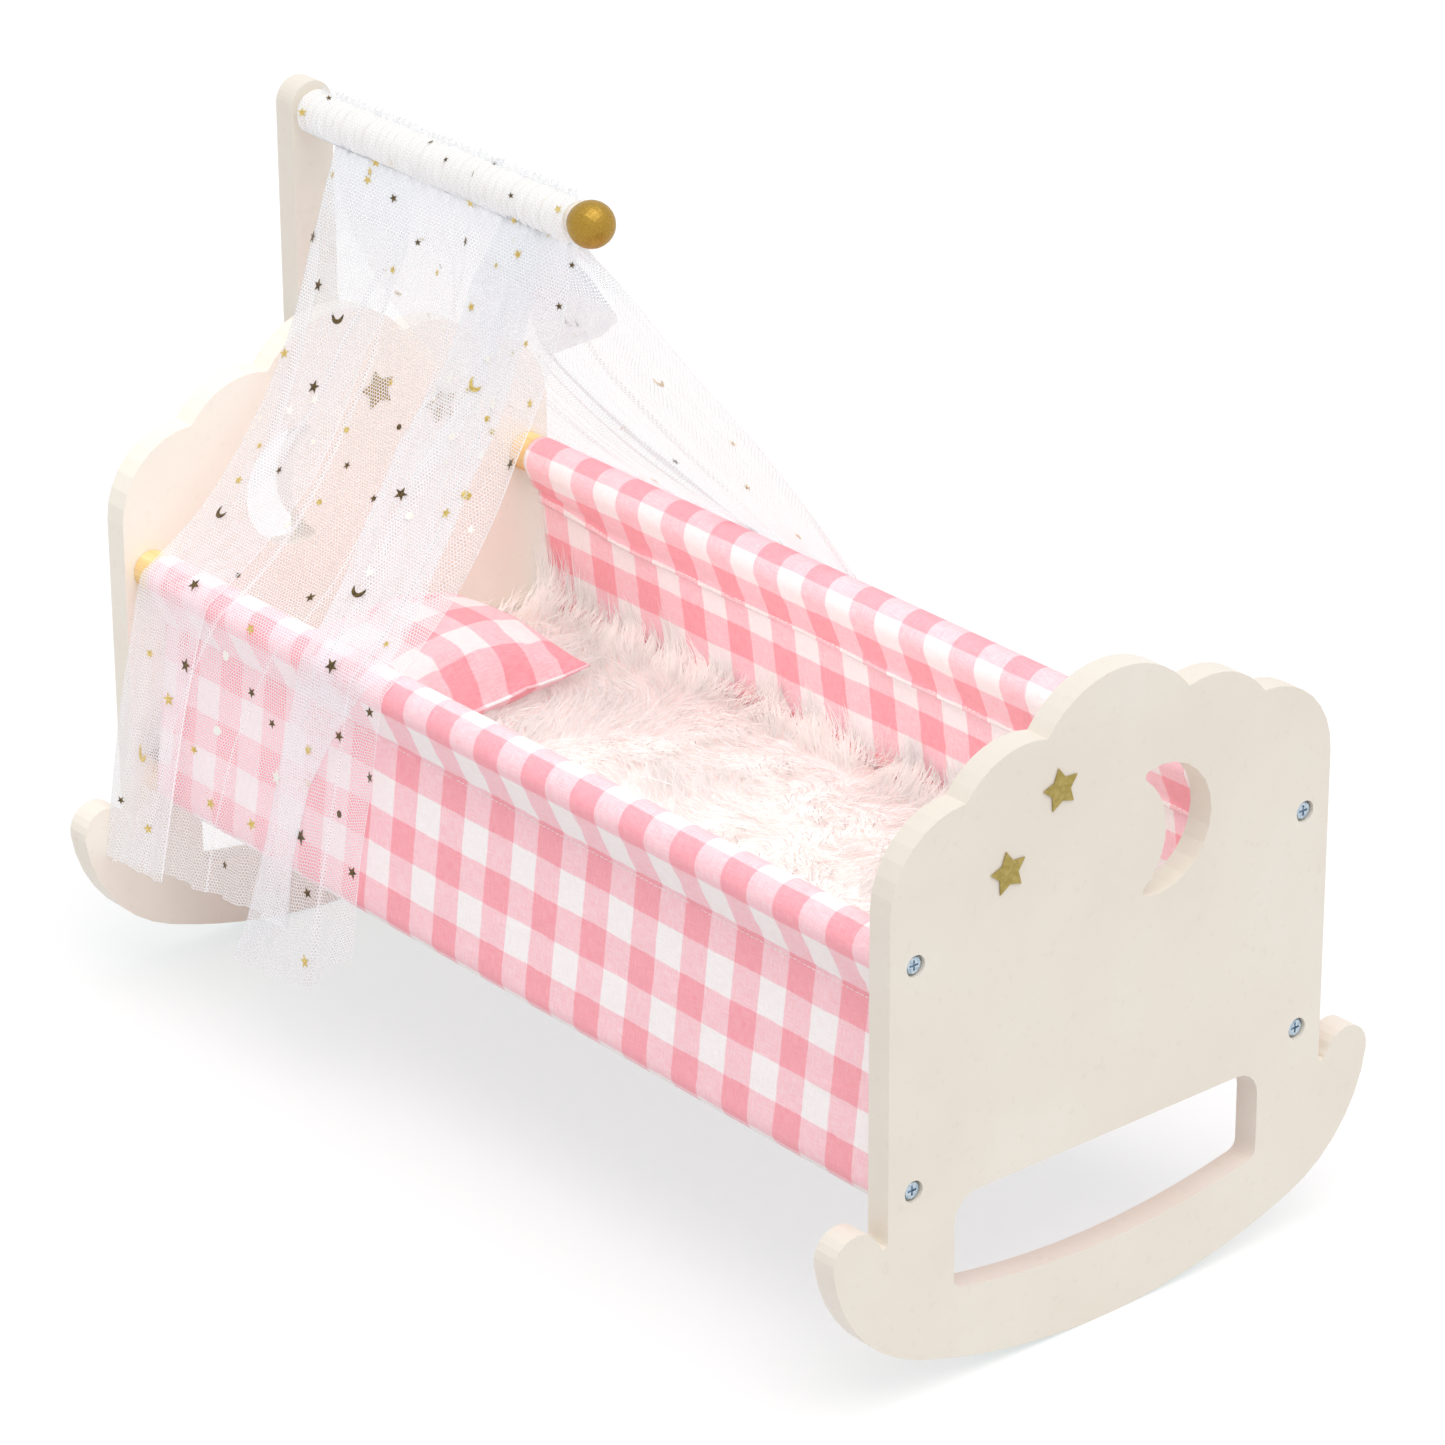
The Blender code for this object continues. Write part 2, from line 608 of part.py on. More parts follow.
def make_sling():
    start = HEAD_INNER_X + SLING_HEAD_SETBACK
    end = FOOT_INNER_X - SLING_FOOT_SETBACK
    return plate("gingham_sling", sling_outlines(), end - start, (start + end) / 2, GINGHAM)


def sling_half_width(height):
    # from the middle to the sling's inner face at a height over the lower rail
    seam = UPPER_RAIL_HEIGHT - SEAM_DROP
    lean = CLOTH_INNER_RADIUS / (seam - LOWER_RAIL_HEIGHT)
    return RAIL_Y + CLOTH_INNER_RADIUS - lean * (height - LOWER_RAIL_HEIGHT)


# Base board, mat and pillow

def box(name, cuts, mat):
    # a unit block, cut into a grid, for shaping
    bpy.ops.mesh.primitive_cube_add(size=1)
    obj = bpy.context.object
    obj.name = name
    for old in list(obj.users_collection):
        old.objects.unlink(obj)
    COT.objects.link(obj)
    obj.data.materials.append(mat)
    if cuts:
        body = bmesh.new()
        body.from_mesh(obj.data)
        bmesh.ops.subdivide_edges(body, edges=body.edges, cuts=cuts, use_grid_fill=True)
        body.to_mesh(obj.data)
        body.free()
    return obj


def make_base_board():
    top = BASE_BOTTOM + BASE_THICKNESS
    width = 2 * (sling_half_width(top) - BASE_SIDE_GAP)
    length = INNER_LENGTH - 2 * BASE_END_GAP
    board = box("base_board", 0, HARDBOARD)
    for vertex in board.data.vertices:
        vertex.co.x = vertex.co.x * length + (HEAD_INNER_X + FOOT_INNER_X) / 2
        vertex.co.y = vertex.co.y * width
        vertex.co.z = (vertex.co.z + 0.5) * BASE_THICKNESS + BASE_BOTTOM
    bevel = board.modifiers.new("eased edges", "BEVEL")
    bevel.width = BASE_CORNER
    bevel.segments = 1


def make_mat():
    # a flat pad whose top edge falls away all round
    width = 2 * (sling_half_width(MAT_TOP) - MAT_SIDE_GAP)
    length = INNER_LENGTH - 2 * MAT_END_GAP
    mat = box("fur_mat", MAT_CUTS, WHITE_FUR)
    for vertex in mat.data.vertices:
        u = 2 * vertex.co.x
        v = 2 * vertex.co.y
        level = vertex.co.z + 0.5
        edge = max(abs(u), abs(v))
        fall = MAT_ROUND * level if edge > 0.99 else 0
        vertex.co.x = u * (length / 2 - fall) + (HEAD_INNER_X + FOOT_INNER_X) / 2
        vertex.co.y = v * (width / 2 - fall)
        vertex.co.z = MAT_BOTTOM + level * MAT_THICKNESS - (fall / 2 if level > 0.99 else 0)
    smooth(mat)


def make_pillow():
    # crowned above and below its seam, the sides drawn in between the corners
    pillow = box("pillow", PILLOW_CUTS, GINGHAM)
    reach = (PILLOW_LENGTH * math.cos(PILLOW_TURN) + PILLOW_WIDTH * math.sin(PILLOW_TURN)) / 2
    middle_x = HEAD_INNER_X + PILLOW_HEAD_GAP + reach
    for vertex in pillow.data.vertices:
        u = math.sin(math.pi * vertex.co.x)
        v = math.sin(math.pi * vertex.co.y)
        level = 2 * vertex.co.z
        swell = ((1 - u ** 4) * (1 - v ** 4)) ** 0.5 if max(abs(u), abs(v)) < 1 else 0
        along = u * (PILLOW_LENGTH / 2 - PILLOW_PINCH * (1 - v ** 2) * abs(u) ** 3)
        across = v * (PILLOW_WIDTH / 2 - PILLOW_PINCH * (1 - u ** 2) * abs(v) ** 3)
        rim = PILLOW_BELLY * level / 4
        height = PILLOW_CROWN if level > 0 else PILLOW_BELLY
        vertex.co.x = middle_x + along * math.cos(PILLOW_TURN) - across * math.sin(PILLOW_TURN)
        vertex.co.y = PILLOW_OFFSET + along * math.sin(PILLOW_TURN) + across * math.cos(PILLOW_TURN)
        if abs(level) > 0.99:
            vertex.co.z = PILLOW_SEAM + rim + level * swell * (height - abs(rim))
        else:
            vertex.co.z = PILLOW_SEAM + rim
    smooth(pillow)


# Canopy post, rod and ball

def make_post():
    middle_x = (POST_FRONT_X + POST_BACK_X) / 2
    post = plate("canopy_post", [post_outline()], POST_THICKNESS, middle_x, CREAM_PAINT)
    round_rims(post, POST_EDGE_ROUND)
    mesh = screw_mesh(POST_SCREW_LENGTH)
    upper = PANEL_TOP - POST_SCREW_DROP
    headboard = bpy.data.objects["headboard"]
    board_left = POST_THICKNESS - SCREW_SINK - SCREW_HEAD_DEPTH
    depth = POST_SCREW_LENGTH - board_left
    for name, height in (("post_screw_upper", upper), ("post_screw_lower", upper - POST_SCREW_SPACING)):
        screw_hole(post, name, POST_BACK_X, -1, 0, height, POST_FRONT_X)
        pilot_hole(headboard, name, HEAD_OUTER_X, 1, depth, 0, height)
        place_screw(name, mesh, POST_BACK_X, -1, 0, height)
    screw_hole(post, "rod_screw", POST_BACK_X, -1, 0, ROD_HEIGHT, POST_FRONT_X)
    place_screw("rod_screw", screw_mesh(ROD_SCREW_LENGTH), POST_BACK_X, -1, 0, ROD_HEIGHT)


def make_rod():
    # turned with a tenon at its foot end for the ball
    profile = [
        (0, ROD_LENGTH + TENON_LENGTH),
        (TENON_RADIUS, ROD_LENGTH + TENON_LENGTH),
        (TENON_RADIUS, ROD_LENGTH),
        (ROD_RADIUS, ROD_LENGTH),
        (ROD_RADIUS, 0),
        (0, 0),
    ]
    rod = turned("canopy_rod", profile, RAIL_SIDES, CREAM_PAINT)
    rod.location = (ROD_START_X, 0, ROD_HEIGHT)
    rod.rotation_euler = (0, math.pi / 2, 0)
    board_left = POST_THICKNESS - SCREW_SINK - SCREW_HEAD_DEPTH
    pilot_hole(rod, "rod", ROD_START_X, 1, ROD_SCREW_LENGTH - board_left, 0, ROD_HEIGHT)


def make_ball():
    # a sphere with a flat seat and a bore for the rod's tenon
    bore = TENON_RADIUS + FIT_GAP
    floor = TENON_LENGTH - BALL_SEAT
    seat_turn = math.pi - math.asin(ROD_RADIUS / BALL_RADIUS)
    profile = []
    for i in range(BALL_RINGS + 1):
        turn = seat_turn * i / BALL_RINGS
        profile.append((BALL_RADIUS * math.sin(turn), BALL_RADIUS * math.cos(turn)))
    profile += [(bore, -BALL_SEAT), (bore, floor), (0, floor)]
    ball = turned("rod_ball", profile, RAIL_SIDES, GOLD_PAINT)
    ball.location = (BALL_X, 0, ROD_HEIGHT)
    ball.rotation_euler = (0, math.pi / 2, 0)


# Canopy net

def net_stations():
    # one half of the net's section, from its hem to the top of the rod, as
    # (stage, share of the stage, outward, up, angle that its folds stand at)
    rail = (RAIL_Y, UPPER_RAIL_HEIGHT)
    half_wall = NET_THICKNESS / 2
    rail_radius = CLOTH_OUTER_RADIUS + NET_REST_GAP + half_wall
    sleeve_height = ROD_HEIGHT - NET_SLEEVE_EASE
    sleeve_radius = ROD_RADIUS + NET_REST_GAP + NET_SLEEVE_EASE + half_wall
    pinch = (half_wall + NET_PINCH_GAP / 2, sleeve_height - sleeve_radius - NET_PINCH_DROP)
    distance = math.hypot(rail[0] - pinch[0], rail[1] - pinch[1])
    turn = angle_to(pinch, rail) + math.pi / 2 + math.asin(rail_radius / distance)
    stations = []
    for i in range(NET_FALL_STEPS):
        stations.append(("fall", i / NET_FALL_STEPS, rail[0] + rail_radius, rail[1], 0))
    for i in range(NET_RAIL_STEPS + 1):
        angle = turn * i / NET_RAIL_STEPS
        place = (rail[0] + rail_radius * math.cos(angle), rail[1] + rail_radius * math.sin(angle))
        stations.append(("rail", i / NET_RAIL_STEPS, *place, angle))
    for i in range(1, NET_RUN_STEPS + 1):
        share = i / NET_RUN_STEPS
        across = place[0] + (pinch[0] - place[0]) * share
        up = place[1] + (pinch[1] - place[1]) * share
        stations.append(("run", share, across, up, turn))
    for i in range(NET_ROD_STEPS + 1):
        angle = math.pi * (i / NET_ROD_STEPS - 0.5)
        out = max(sleeve_radius * math.cos(angle), pinch[0]) if i < NET_ROD_STEPS else 0
        stations.append(("rod", i / NET_ROD_STEPS, out, sleeve_height + sleeve_radius * math.sin(angle), angle))
    return stations


def net_hem(share, near):
    if not near:
        return NET_HEM_HEIGHT
    strip = (share - NET_STRIP_SHARE) / NET_STRIP_BLEND_SHARE
    corner = max((share - NET_CORNER_SHARE) / (1 - NET_CORNER_SHARE), 0)
    return NET_HEM_HEIGHT - NET_STRIP_DROP * min(max(strip, 0), 1) + NET_CORNER_LIFT * corner ** 2


def net_point(station, side, share):
    # a point of the net at a station, share of the way from head to foot
    stage, along, out, up, normal = station
    near = side < 0
    rod_foot = ROD_END_X - FIT_GAP
    rail_foot = rod_foot + (NET_NEAR_FOOT_SHIFT if near else NET_FAR_FOOT_SHIFT)
    head = HEAD_INNER_X + NET_HEAD_GAP + NET_HEAD_SHIFT
    foot = rail_foot
    fold = NET_RUN_FOLD
    if stage == "fall":
        hem = net_hem(share, near)
        up = hem + (up - hem) * along
        out += (NET_FLARE + NET_EAR_FLARE * (1 - share)) * (1 - along)
        head -= NET_HEAD_SHIFT * (1 - along)
        if near:
            foot -= NET_NEAR_FOOT_SHIFT * (1 - along)
        fold = NET_HEM_FOLD + (NET_RUN_FOLD - NET_HEM_FOLD) * along
    elif stage == "run":
        head -= NET_HEAD_SHIFT * along
        foot = rail_foot + (rod_foot - rail_foot) * along
        sag = 4 * NET_SAG * along * (1 - along) * (1 if near else 1 - share)
        out -= sag * math.cos(normal)
        up -= sag * math.sin(normal)
        fold = NET_RUN_FOLD * (1 - along)
    elif stage == "rod":
        head = POST_FRONT_X + NET_HEAD_GAP
        foot = rod_foot
        fold = NET_ROD_FOLD * along
    stand_off = fold * (1 - math.cos(2 * math.pi * NET_FOLDS * share)) / 2
    out += stand_off * math.cos(normal)
    up += stand_off * math.sin(normal)
    return (head + (foot - head) * share, side * out, up)


def make_net():
    half = net_stations()
    rows = [(station, -1) for station in half] + [(station, 1) for station in reversed(half[:-1])]
    body = bmesh.new()
    bmesh.ops.create_grid(body, x_segments=NET_COLUMNS - 1, y_segments=len(rows) - 1, size=0.5)
    for vertex in body.verts:
        share = vertex.co.x + 0.5
        station, side = rows[round((vertex.co.y + 0.5) * (len(rows) - 1))]
        vertex.co = net_point(station, side, share)
    bmesh.ops.recalc_face_normals(body, faces=body.faces)
    mesh = bpy.data.meshes.new("canopy_net")
    body.to_mesh(mesh)
    body.free()
    mesh.materials.append(WHITE_NET)
    net = bpy.data.objects.new("canopy_net", mesh)
    COT.objects.link(net)
    wall = net.modifiers.new("net thickness", "SOLIDIFY")
    wall.thickness = NET_THICKNESS
    wall.offset = 0
    smooth(net)


make_panel("footboard", (FOOT_OUTER_X + FOOT_INNER_X) / 2, 1)
make_panel("headboard", (HEAD_OUTER_X + HEAD_INNER_X) / 2, -1)
make_stars()
make_rails()
make_sling()
make_base_board()
make_mat()
make_pillow()
make_post()
make_rod()
make_ball()
make_net()
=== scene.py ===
import bpy
import bmesh
import math
import numpy as np
from mathutils import Matrix, Vector


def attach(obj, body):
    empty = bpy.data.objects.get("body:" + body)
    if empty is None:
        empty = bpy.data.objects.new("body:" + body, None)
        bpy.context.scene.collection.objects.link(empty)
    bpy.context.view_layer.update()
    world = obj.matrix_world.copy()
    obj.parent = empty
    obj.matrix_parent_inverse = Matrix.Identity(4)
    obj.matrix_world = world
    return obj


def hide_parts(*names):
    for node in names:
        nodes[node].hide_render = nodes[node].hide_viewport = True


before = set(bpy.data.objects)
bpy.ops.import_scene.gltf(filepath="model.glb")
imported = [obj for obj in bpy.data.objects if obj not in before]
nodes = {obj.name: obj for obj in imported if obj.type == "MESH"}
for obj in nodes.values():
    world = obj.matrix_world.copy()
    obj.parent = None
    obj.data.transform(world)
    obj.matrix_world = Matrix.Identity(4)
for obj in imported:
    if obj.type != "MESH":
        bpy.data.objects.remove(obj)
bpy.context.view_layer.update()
print("doll cot: frame loaded,", len(nodes), "nodes")


# Camera, lamps and floor

cameraSet = {
    "place": (1.87923, -1.55712, 1.30678),
    "turn": 49.98,          # degrees round the cot
    "tilt": 24.889,         # degrees above the horizon
    "roll": -0.293,
    "lens": 155.95,
    "sensor": 36,
    "reach": 40,
}
lightSet = {
    "roomStrength": 0.66,
    "keyStrength": 1.42,
    "keySoftness": 55,      # degrees across
    "keyTilt": 19,          # degrees off straight down
    "keyTurn": 80,
    # soft boxes, each for the pieces named: (watts, size, place, aim, pieces)
    "fills": {
        "fillLamp": (1.13, (0.50, 0.30), (-0.06, -0.26, 0.84), (-0.06, 0.06, 0.15), (
            "headboard", "upper_rail_near", "upper_rail_far", "slingCloth", "slingStitches",
            "pillowPad", "pillowLip")),
        "matLamp": (0.20, (0.26, 0.20), (-0.18, -0.10, 0.42), (-0.17, 0.03, 0.10), (
            "furBacking", "furPile0", "furPile1", "furPile2")),
        "innerLamp": (0.105, (0.44, 0.03), (-0.02, -0.082, 0.232), (-0.03, 0.107, 0.14), (
            "slingCloth", "slingStitches", "furBacking", "furPile0", "furPile1", "furPile2")),
        "headLamp": (0.040, (0.16, 0.12), (-0.06, 0.03, 0.19), (-0.26, 0.04, 0.17), ("headboard",)),
        "rockerLamp": (0.085, (0.12, 0.12), (0.0, -0.14, 0.06), (-0.25, -0.10, 0.05), ("headboard",)),
        "sideLamp": (0.50, (0.60, 0.30), (0.03, -0.80, 0.48), (0.03, -0.10, 0.13), (
            "slingCloth", "slingStitches")),
        "netLamp": (0.22, (0.20, 0.10), (-0.17, -0.42, 0.16), (-0.17, -0.12, 0.12), ("canopyTulle",)),
    },
    "floorBounce": 0.78,
    # the part of the floor's look that takes shadow and the part that doesn't; the
    # first has less green and blue, because the light under the cot is pink
    "floorShade": (0.500, 0.425, 0.427),
    "floorGlow": (0.530, 0.610, 0.608),
    "floorSize": 9.0,
    "floorDrop": 0.0001,
}


def clearSelection():
    bpy.ops.object.select_all(action="DESELECT")


def makeCamera():
    turn, tilt, roll = (math.radians(cameraSet[k]) for k in ("turn", "tilt", "roll"))
    aim = Matrix.Rotation(turn, 3, "Z") @ Matrix.Rotation(math.pi / 2 - tilt, 3, "X")
    aim = aim @ Matrix.Rotation(roll, 3, "Z")
    bpy.ops.object.camera_add(location=cameraSet["place"], rotation=aim.to_euler())
    camera = bpy.context.object
    camera.data.lens = cameraSet["lens"]
    camera.data.sensor_width = cameraSet["sensor"]
    camera.data.clip_end = cameraSet["reach"]
    bpy.context.scene.camera = camera


def plainShader(tree, kind, tint):
    made = tree.nodes.new("ShaderNode" + kind)
    made.inputs["Color"].default_value = tint + (1,)
    return made


def seenDirectly(tree, lit, seen, output):
    # seen shows to the camera and in mirrors and glass, and lit throws the light
    path = tree.nodes.new("ShaderNodeLightPath")
    share = path.outputs["Is Camera Ray"]
    for ray in ("Is Glossy Ray", "Is Transmission Ray"):
        either = tree.nodes.new("ShaderNodeMath")
        either.operation = "MAXIMUM"
        tree.links.new(share, either.inputs[0])
        tree.links.new(path.outputs[ray], either.inputs[1])
        share = either.outputs[0]
    mix = tree.nodes.new("ShaderNodeMixShader")
    tree.links.new(share, mix.inputs["Fac"])
    tree.links.new(lit.outputs[0], mix.inputs[1])
    tree.links.new(seen.outputs[0], mix.inputs[2])
    tree.links.new(mix.outputs[0], tree.nodes[output].inputs["Surface"])


def makeLights():
    world = bpy.data.worlds.new("softRoom")
    bpy.context.scene.world = world
    world.use_nodes = True
    tree = world.node_tree
    room = tree.nodes["Background"]
    room.inputs["Color"].default_value = (1, 1, 1, 1)
    room.inputs["Strength"].default_value = lightSet["roomStrength"]
    seenDirectly(tree, room, plainShader(tree, "Background", (1, 1, 1)), "World Output")
    tilt, turn = math.radians(lightSet["keyTilt"]), math.radians(lightSet["keyTurn"])
    bpy.ops.object.light_add(type="SUN", location=(0, 0, 2), rotation=(tilt, 0, turn))
    key = bpy.context.object
    key.name = "keyLamp"
    key.data.energy = lightSet["keyStrength"]
    key.data.angle = math.radians(lightSet["keySoftness"])
    for name, (power, size, place, aim, _) in lightSet["fills"].items():
        facing = (Vector(aim) - Vector(place)).to_track_quat("-Z", "Y").to_euler()
        bpy.ops.object.light_add(type="AREA", location=place, rotation=facing)
        fill = bpy.context.object
        fill.name = name
        fill.data.shape = "RECTANGLE"
        fill.data.size, fill.data.size_y = size
        fill.data.energy = power
        fill.visible_camera = False
        fill.visible_glossy = False
        fill.light_linking.receiver_collection = bpy.data.collections.new(name + "Lights")
        fill.light_linking.blocker_collection = fill.light_linking.receiver_collection


def makeFloor():
    clearSelection()
    bpy.ops.mesh.primitive_plane_add(size=lightSet["floorSize"], location=(0, 0, -lightSet["floorDrop"]))
    floor = bpy.context.object
    floor.name = "floor"
    pale = bpy.data.materials.new("paleFloor")
    pale.use_nodes = True
    tree = pale.node_tree
    tree.nodes.remove(tree.nodes["Principled BSDF"])
    bounce = plainShader(tree, "BsdfDiffuse", (lightSet["floorBounce"],) * 3)
    both = tree.nodes.new("ShaderNodeAddShader")
    shade = plainShader(tree, "BsdfDiffuse", lightSet["floorShade"])
    glow = plainShader(tree, "Emission", lightSet["floorGlow"])
    tree.links.new(shade.outputs[0], both.inputs[0])
    tree.links.new(glow.outputs[0], both.inputs[1])
    seenDirectly(tree, bounce, both, "Material Output")
    floor.data.materials.append(pale)


makeCamera()
makeLights()
makeFloor()
print("camera, lamps and floor in place")


# Finishes

def colour(code):
    # a screen colour such as "F8EFEE" as the shader wants it
    parts = [int(code[i:i + 2], 16) / 255 for i in (0, 2, 4)]
    return tuple(((c + 0.055) / 1.055) ** 2.4 if c > 0.04045 else c / 12.92 for c in parts) + (1,)


class Finish:
    # a node material, with short ways to add and join its nodes
    def __init__(self, name, roughness, metallic=0.0, sheen=0.0):
        self.material = bpy.data.materials.new(name)
        self.material.use_nodes = True
        self.tree = self.material.node_tree
        self.shader = self.tree.nodes["Principled BSDF"]
        self.shader.inputs["Roughness"].default_value = roughness
        self.shader.inputs["Metallic"].default_value = metallic
        self.shader.inputs["Sheen Weight"].default_value = sheen
        self.step = 0

    def add(self, kind, inputs=(), **settings):
        item = self.tree.nodes.new("ShaderNode" + kind)
        self.step += 1
        item.location = (-220 * (1 + self.step % 9), -260 * (self.step // 9))
        for key, value in settings.items():
            setattr(item, key, value)
        for key, value in dict(inputs).items():
            self.feed(item, key, value)
        return item

    def feed(self, item, key, value):
        # value is a number, a colour or another node's output
        if isinstance(value, bpy.types.NodeSocket):
            self.tree.links.new(value, item.inputs[key])
        else:
            item.inputs[key].default_value = value

    def sum(self, operation, a, b=0.5, clamp=False):
        return self.add("Math", {0: a, 1: b}, operation=operation, use_clamp=clamp).outputs[0]

    def vector(self, operation, a, b=(0, 0, 0), output=0):
        return self.add("VectorMath", {0: a, 1: b}, operation=operation).outputs[output]

    def place(self, scale=(1, 1, 1), uv=False):
        # object or UV coordinates, stretched by scale
        source = self.add("UVMap") if uv else self.add("TexCoord")
        out = source.outputs["UV" if uv else "Object"]
        return self.add("Mapping", {"Vector": out, "Scale": scale}).outputs[0]

    def noise(self, where, scale, detail=2.0, roughness=0.5, distortion=0.0):
        texture = self.add("TexNoise", {
            "Vector": where, "Scale": scale, "Detail": detail,
            "Roughness": roughness, "Distortion": distortion,
        })
        return texture.outputs["Fac"]

    def spread(self, value, low, high, newLow=0.0, newHigh=1.0):
        # stretches low..high onto newLow..newHigh
        return self.add("MapRange", {
            "Value": value, "From Min": low, "From Max": high,
            "To Min": newLow, "To Max": newHigh,
        }).outputs[0]

    def blend(self, share, first, second, how="MIX"):
        mix = self.add("Mix", data_type="RGBA", blend_type=how)
        self.feed(mix, 0, share)
        self.feed(mix, 6, first)
        self.feed(mix, 7, second)
        return mix.outputs[2]

    def letThrough(self, tint, share):
        # some of the light that falls on one side comes out on the other
        through = self.add("BsdfTranslucent", {"Color": tint})
        return self.add("MixShader", {0: share, 1: self.shader.outputs[0], 2: through.outputs[0]}).outputs[0]

    def show(self, surface):
        self.feed(self.tree.nodes["Material Output"], "Surface", surface)

    def paint(self, value):
        self.feed(self.shader, "Base Color", value)

    def bump(self, height, strength, distance):
        # a second bump lies on the first
        made = self.add("Bump", {"Height": height, "Strength": strength, "Distance": distance})
        for link in self.shader.inputs["Normal"].links:
            self.feed(made, "Normal", link.from_socket)
        self.feed(self.shader, "Normal", made.outputs["Normal"])


def creamPaint():
    # satin paint sprayed on board, a little uneven
    f = Finish("creamPaint", 0.42)
    where = f.place()
    mottle = f.spread(f.noise(where, 14, 3), 0.35, 0.65)
    base = f.blend(mottle, colour("F3ECE1"), colour("F0E7DA"))
    speck = f.spread(f.noise(where, 260, 2), 0.62, 0.74, 0, 0.30)
    f.paint(f.blend(speck, base, colour("E6DCCB")))
    f.feed(f.shader, "Roughness", f.spread(mottle, 0, 1, 0.36, 0.46))
    peel = f.noise(where, 620, 2, 0.5)
    f.bump(f.sum("ADD", peel, f.sum("MULTIPLY", mottle, 0.5)), 0.06, 0.0003)
    return f.material


def goldPaint():
    # satin metallic paint with fine flake
    f = Finish("goldPaint", 0.40, 0.55)
    where = f.place()
    flake = f.spread(f.noise(where, 2600, 1), 0.40, 0.62)
    f.paint(f.blend(flake, colour("A27E29"), colour("BA9539")))
    f.feed(f.shader, "Roughness", f.spread(flake, 0, 1, 0.44, 0.34))
    f.bump(f.noise(where, 1100, 2), 0.08, 0.0002)
    return f.material


def goldFoil():
    # stamped foil, faintly crinkled
    f = Finish("goldFoil", 0.38, 0.45)
    where = f.place()
    crinkle = f.noise(where, 420, 3, 0.6, 0.4)
    f.paint(f.blend(f.spread(crinkle, 0.40, 0.62), colour("A38F45"), colour("B8A45C")))
    f.feed(f.shader, "Roughness", f.spread(crinkle, 0.3, 0.7, 0.30, 0.46))
    f.bump(crinkle, 0.12, 0.0002)
    return f.material


def bareWood():
    # pine dowel, its grain along the cot
    f = Finish("bareWood", 0.58)
    where = f.place()
    drift = f.noise(where, 9, 2)
    fibre = f.noise(f.place((7, 210, 210)), 1, 4, 0.65, 0.3)
    rings = f.spread(f.sum("ADD", fibre, f.sum("MULTIPLY", drift, 0.3)), 0.45, 0.85)
    base = f.blend(rings, colour("FBDDA4"), colour("EDBF77"))
    pores = f.spread(f.noise(f.place((40, 1500, 1500)), 1, 2), 0.60, 0.74, 0, 0.35)
    f.paint(f.blend(pores, base, colour("C79350")))
    f.feed(f.shader, "Roughness", f.spread(rings, 0, 1, 0.52, 0.66))
    f.bump(f.sum("SUBTRACT", fibre, pores), 0.18, 0.0003)
    return f.material


def zincPlate():
    # blue passivated screws
    f = Finish("zincPlate", 0.32, 1.0)
    where = f.place()
    spangle = f.noise(where, 700, 3)
    f.paint(f.blend(f.spread(spangle, 0.38, 0.62), colour("9FB2C2"), colour("C9D6E0")))
    f.feed(f.shader, "Roughness", f.spread(spangle, 0.3, 0.7, 0.24, 0.42))
    f.bump(f.noise(where, 2500, 2), 0.10, 0.0001)
    return f.material


def hardboard():
    # pressed fibre, darker flecks
    f = Finish("hardboard", 0.78)
    where = f.place()
    fibre = f.noise(where, 260, 5, 0.7)
    fleck = f.spread(f.noise(where, 900, 2), 0.58, 0.70)
    base = f.blend(f.spread(fibre, 0.35, 0.65), colour("6B5038"), colour("8A6B4C"))
    f.paint(f.blend(f.sum("MULTIPLY", fleck, 0.6), base, colour("3F2D1F")))
    f.bump(fibre, 0.25, 0.0004)
    return f.material


def gingham(name, wide, tall, shift):
    # woven check on the cloth's own UV map, in metres: two sets of pink bands,
    # deep where they cross, with single threads and slubs showing
    f = Finish(name, 0.86, 0.0, 0.12)
    uv = f.add("UVMap").outputs["UV"]
    moved = f.vector("ADD", uv, (shift[0], shift[1], 0))
    wander = f.add("TexNoise", {"Vector": moved, "Scale": 90, "Detail": 2})
    slight = f.vector("SUBTRACT", wander.outputs["Color"], (0.5, 0.5, 0.5))
    walked = f.vector("ADD", moved, f.vector("MULTIPLY", slight, (0.0011, 0.0011, 0.0011)))
    axes = f.add("SeparateXYZ", {0: walked})
    bands = []
    for axis, square in (("X", wide), ("Y", tall)):
        wave = f.sum("PINGPONG", axes.outputs[axis], square)
        bands.append(f.spread(wave, square / 2 + 0.00025, square / 2 - 0.00025))
    one = f.sum("MAXIMUM", bands[0], bands[1])
    two = f.sum("MULTIPLY", bands[0], bands[1])
    # slubs: short streaks along both sets of threads
    along = f.noise(f.place((160, 2600, 1), uv=True), 1, 2)
    across = f.noise(f.place((2600, 160, 1), uv=True), 1, 2)
    streak = f.sum("ADD", *(f.spread(way, 0.38, 0.62, -0.5, 0.5) for way in (along, across)))
    slub = f.spread(streak, -0.8, 0.8)
    pale = f.blend(slub, colour("F8EEEE"), colour("FEF9F9"))
    light = f.blend(slub, colour("FCC0C9"), colour("FED9DF"))
    deep = f.blend(slub, colour("F99DA9"), colour("FDB2BB"))
    f.paint(f.blend(two, f.blend(one, pale, light), deep))
    threads = f.add("TexChecker", {"Vector": f.place(uv=True), "Scale": 2300})
    height = f.sum("ADD", f.sum("MULTIPLY", threads.outputs["Fac"], 0.4), streak)
    # faint rumples, then the threads on them
    f.bump(f.noise(f.place((24, 52, 1), uv=True), 1, 2, 0.45, 0.5), 0.30, 0.004)
    f.bump(height, 0.16, 0.00025)
    return f.material


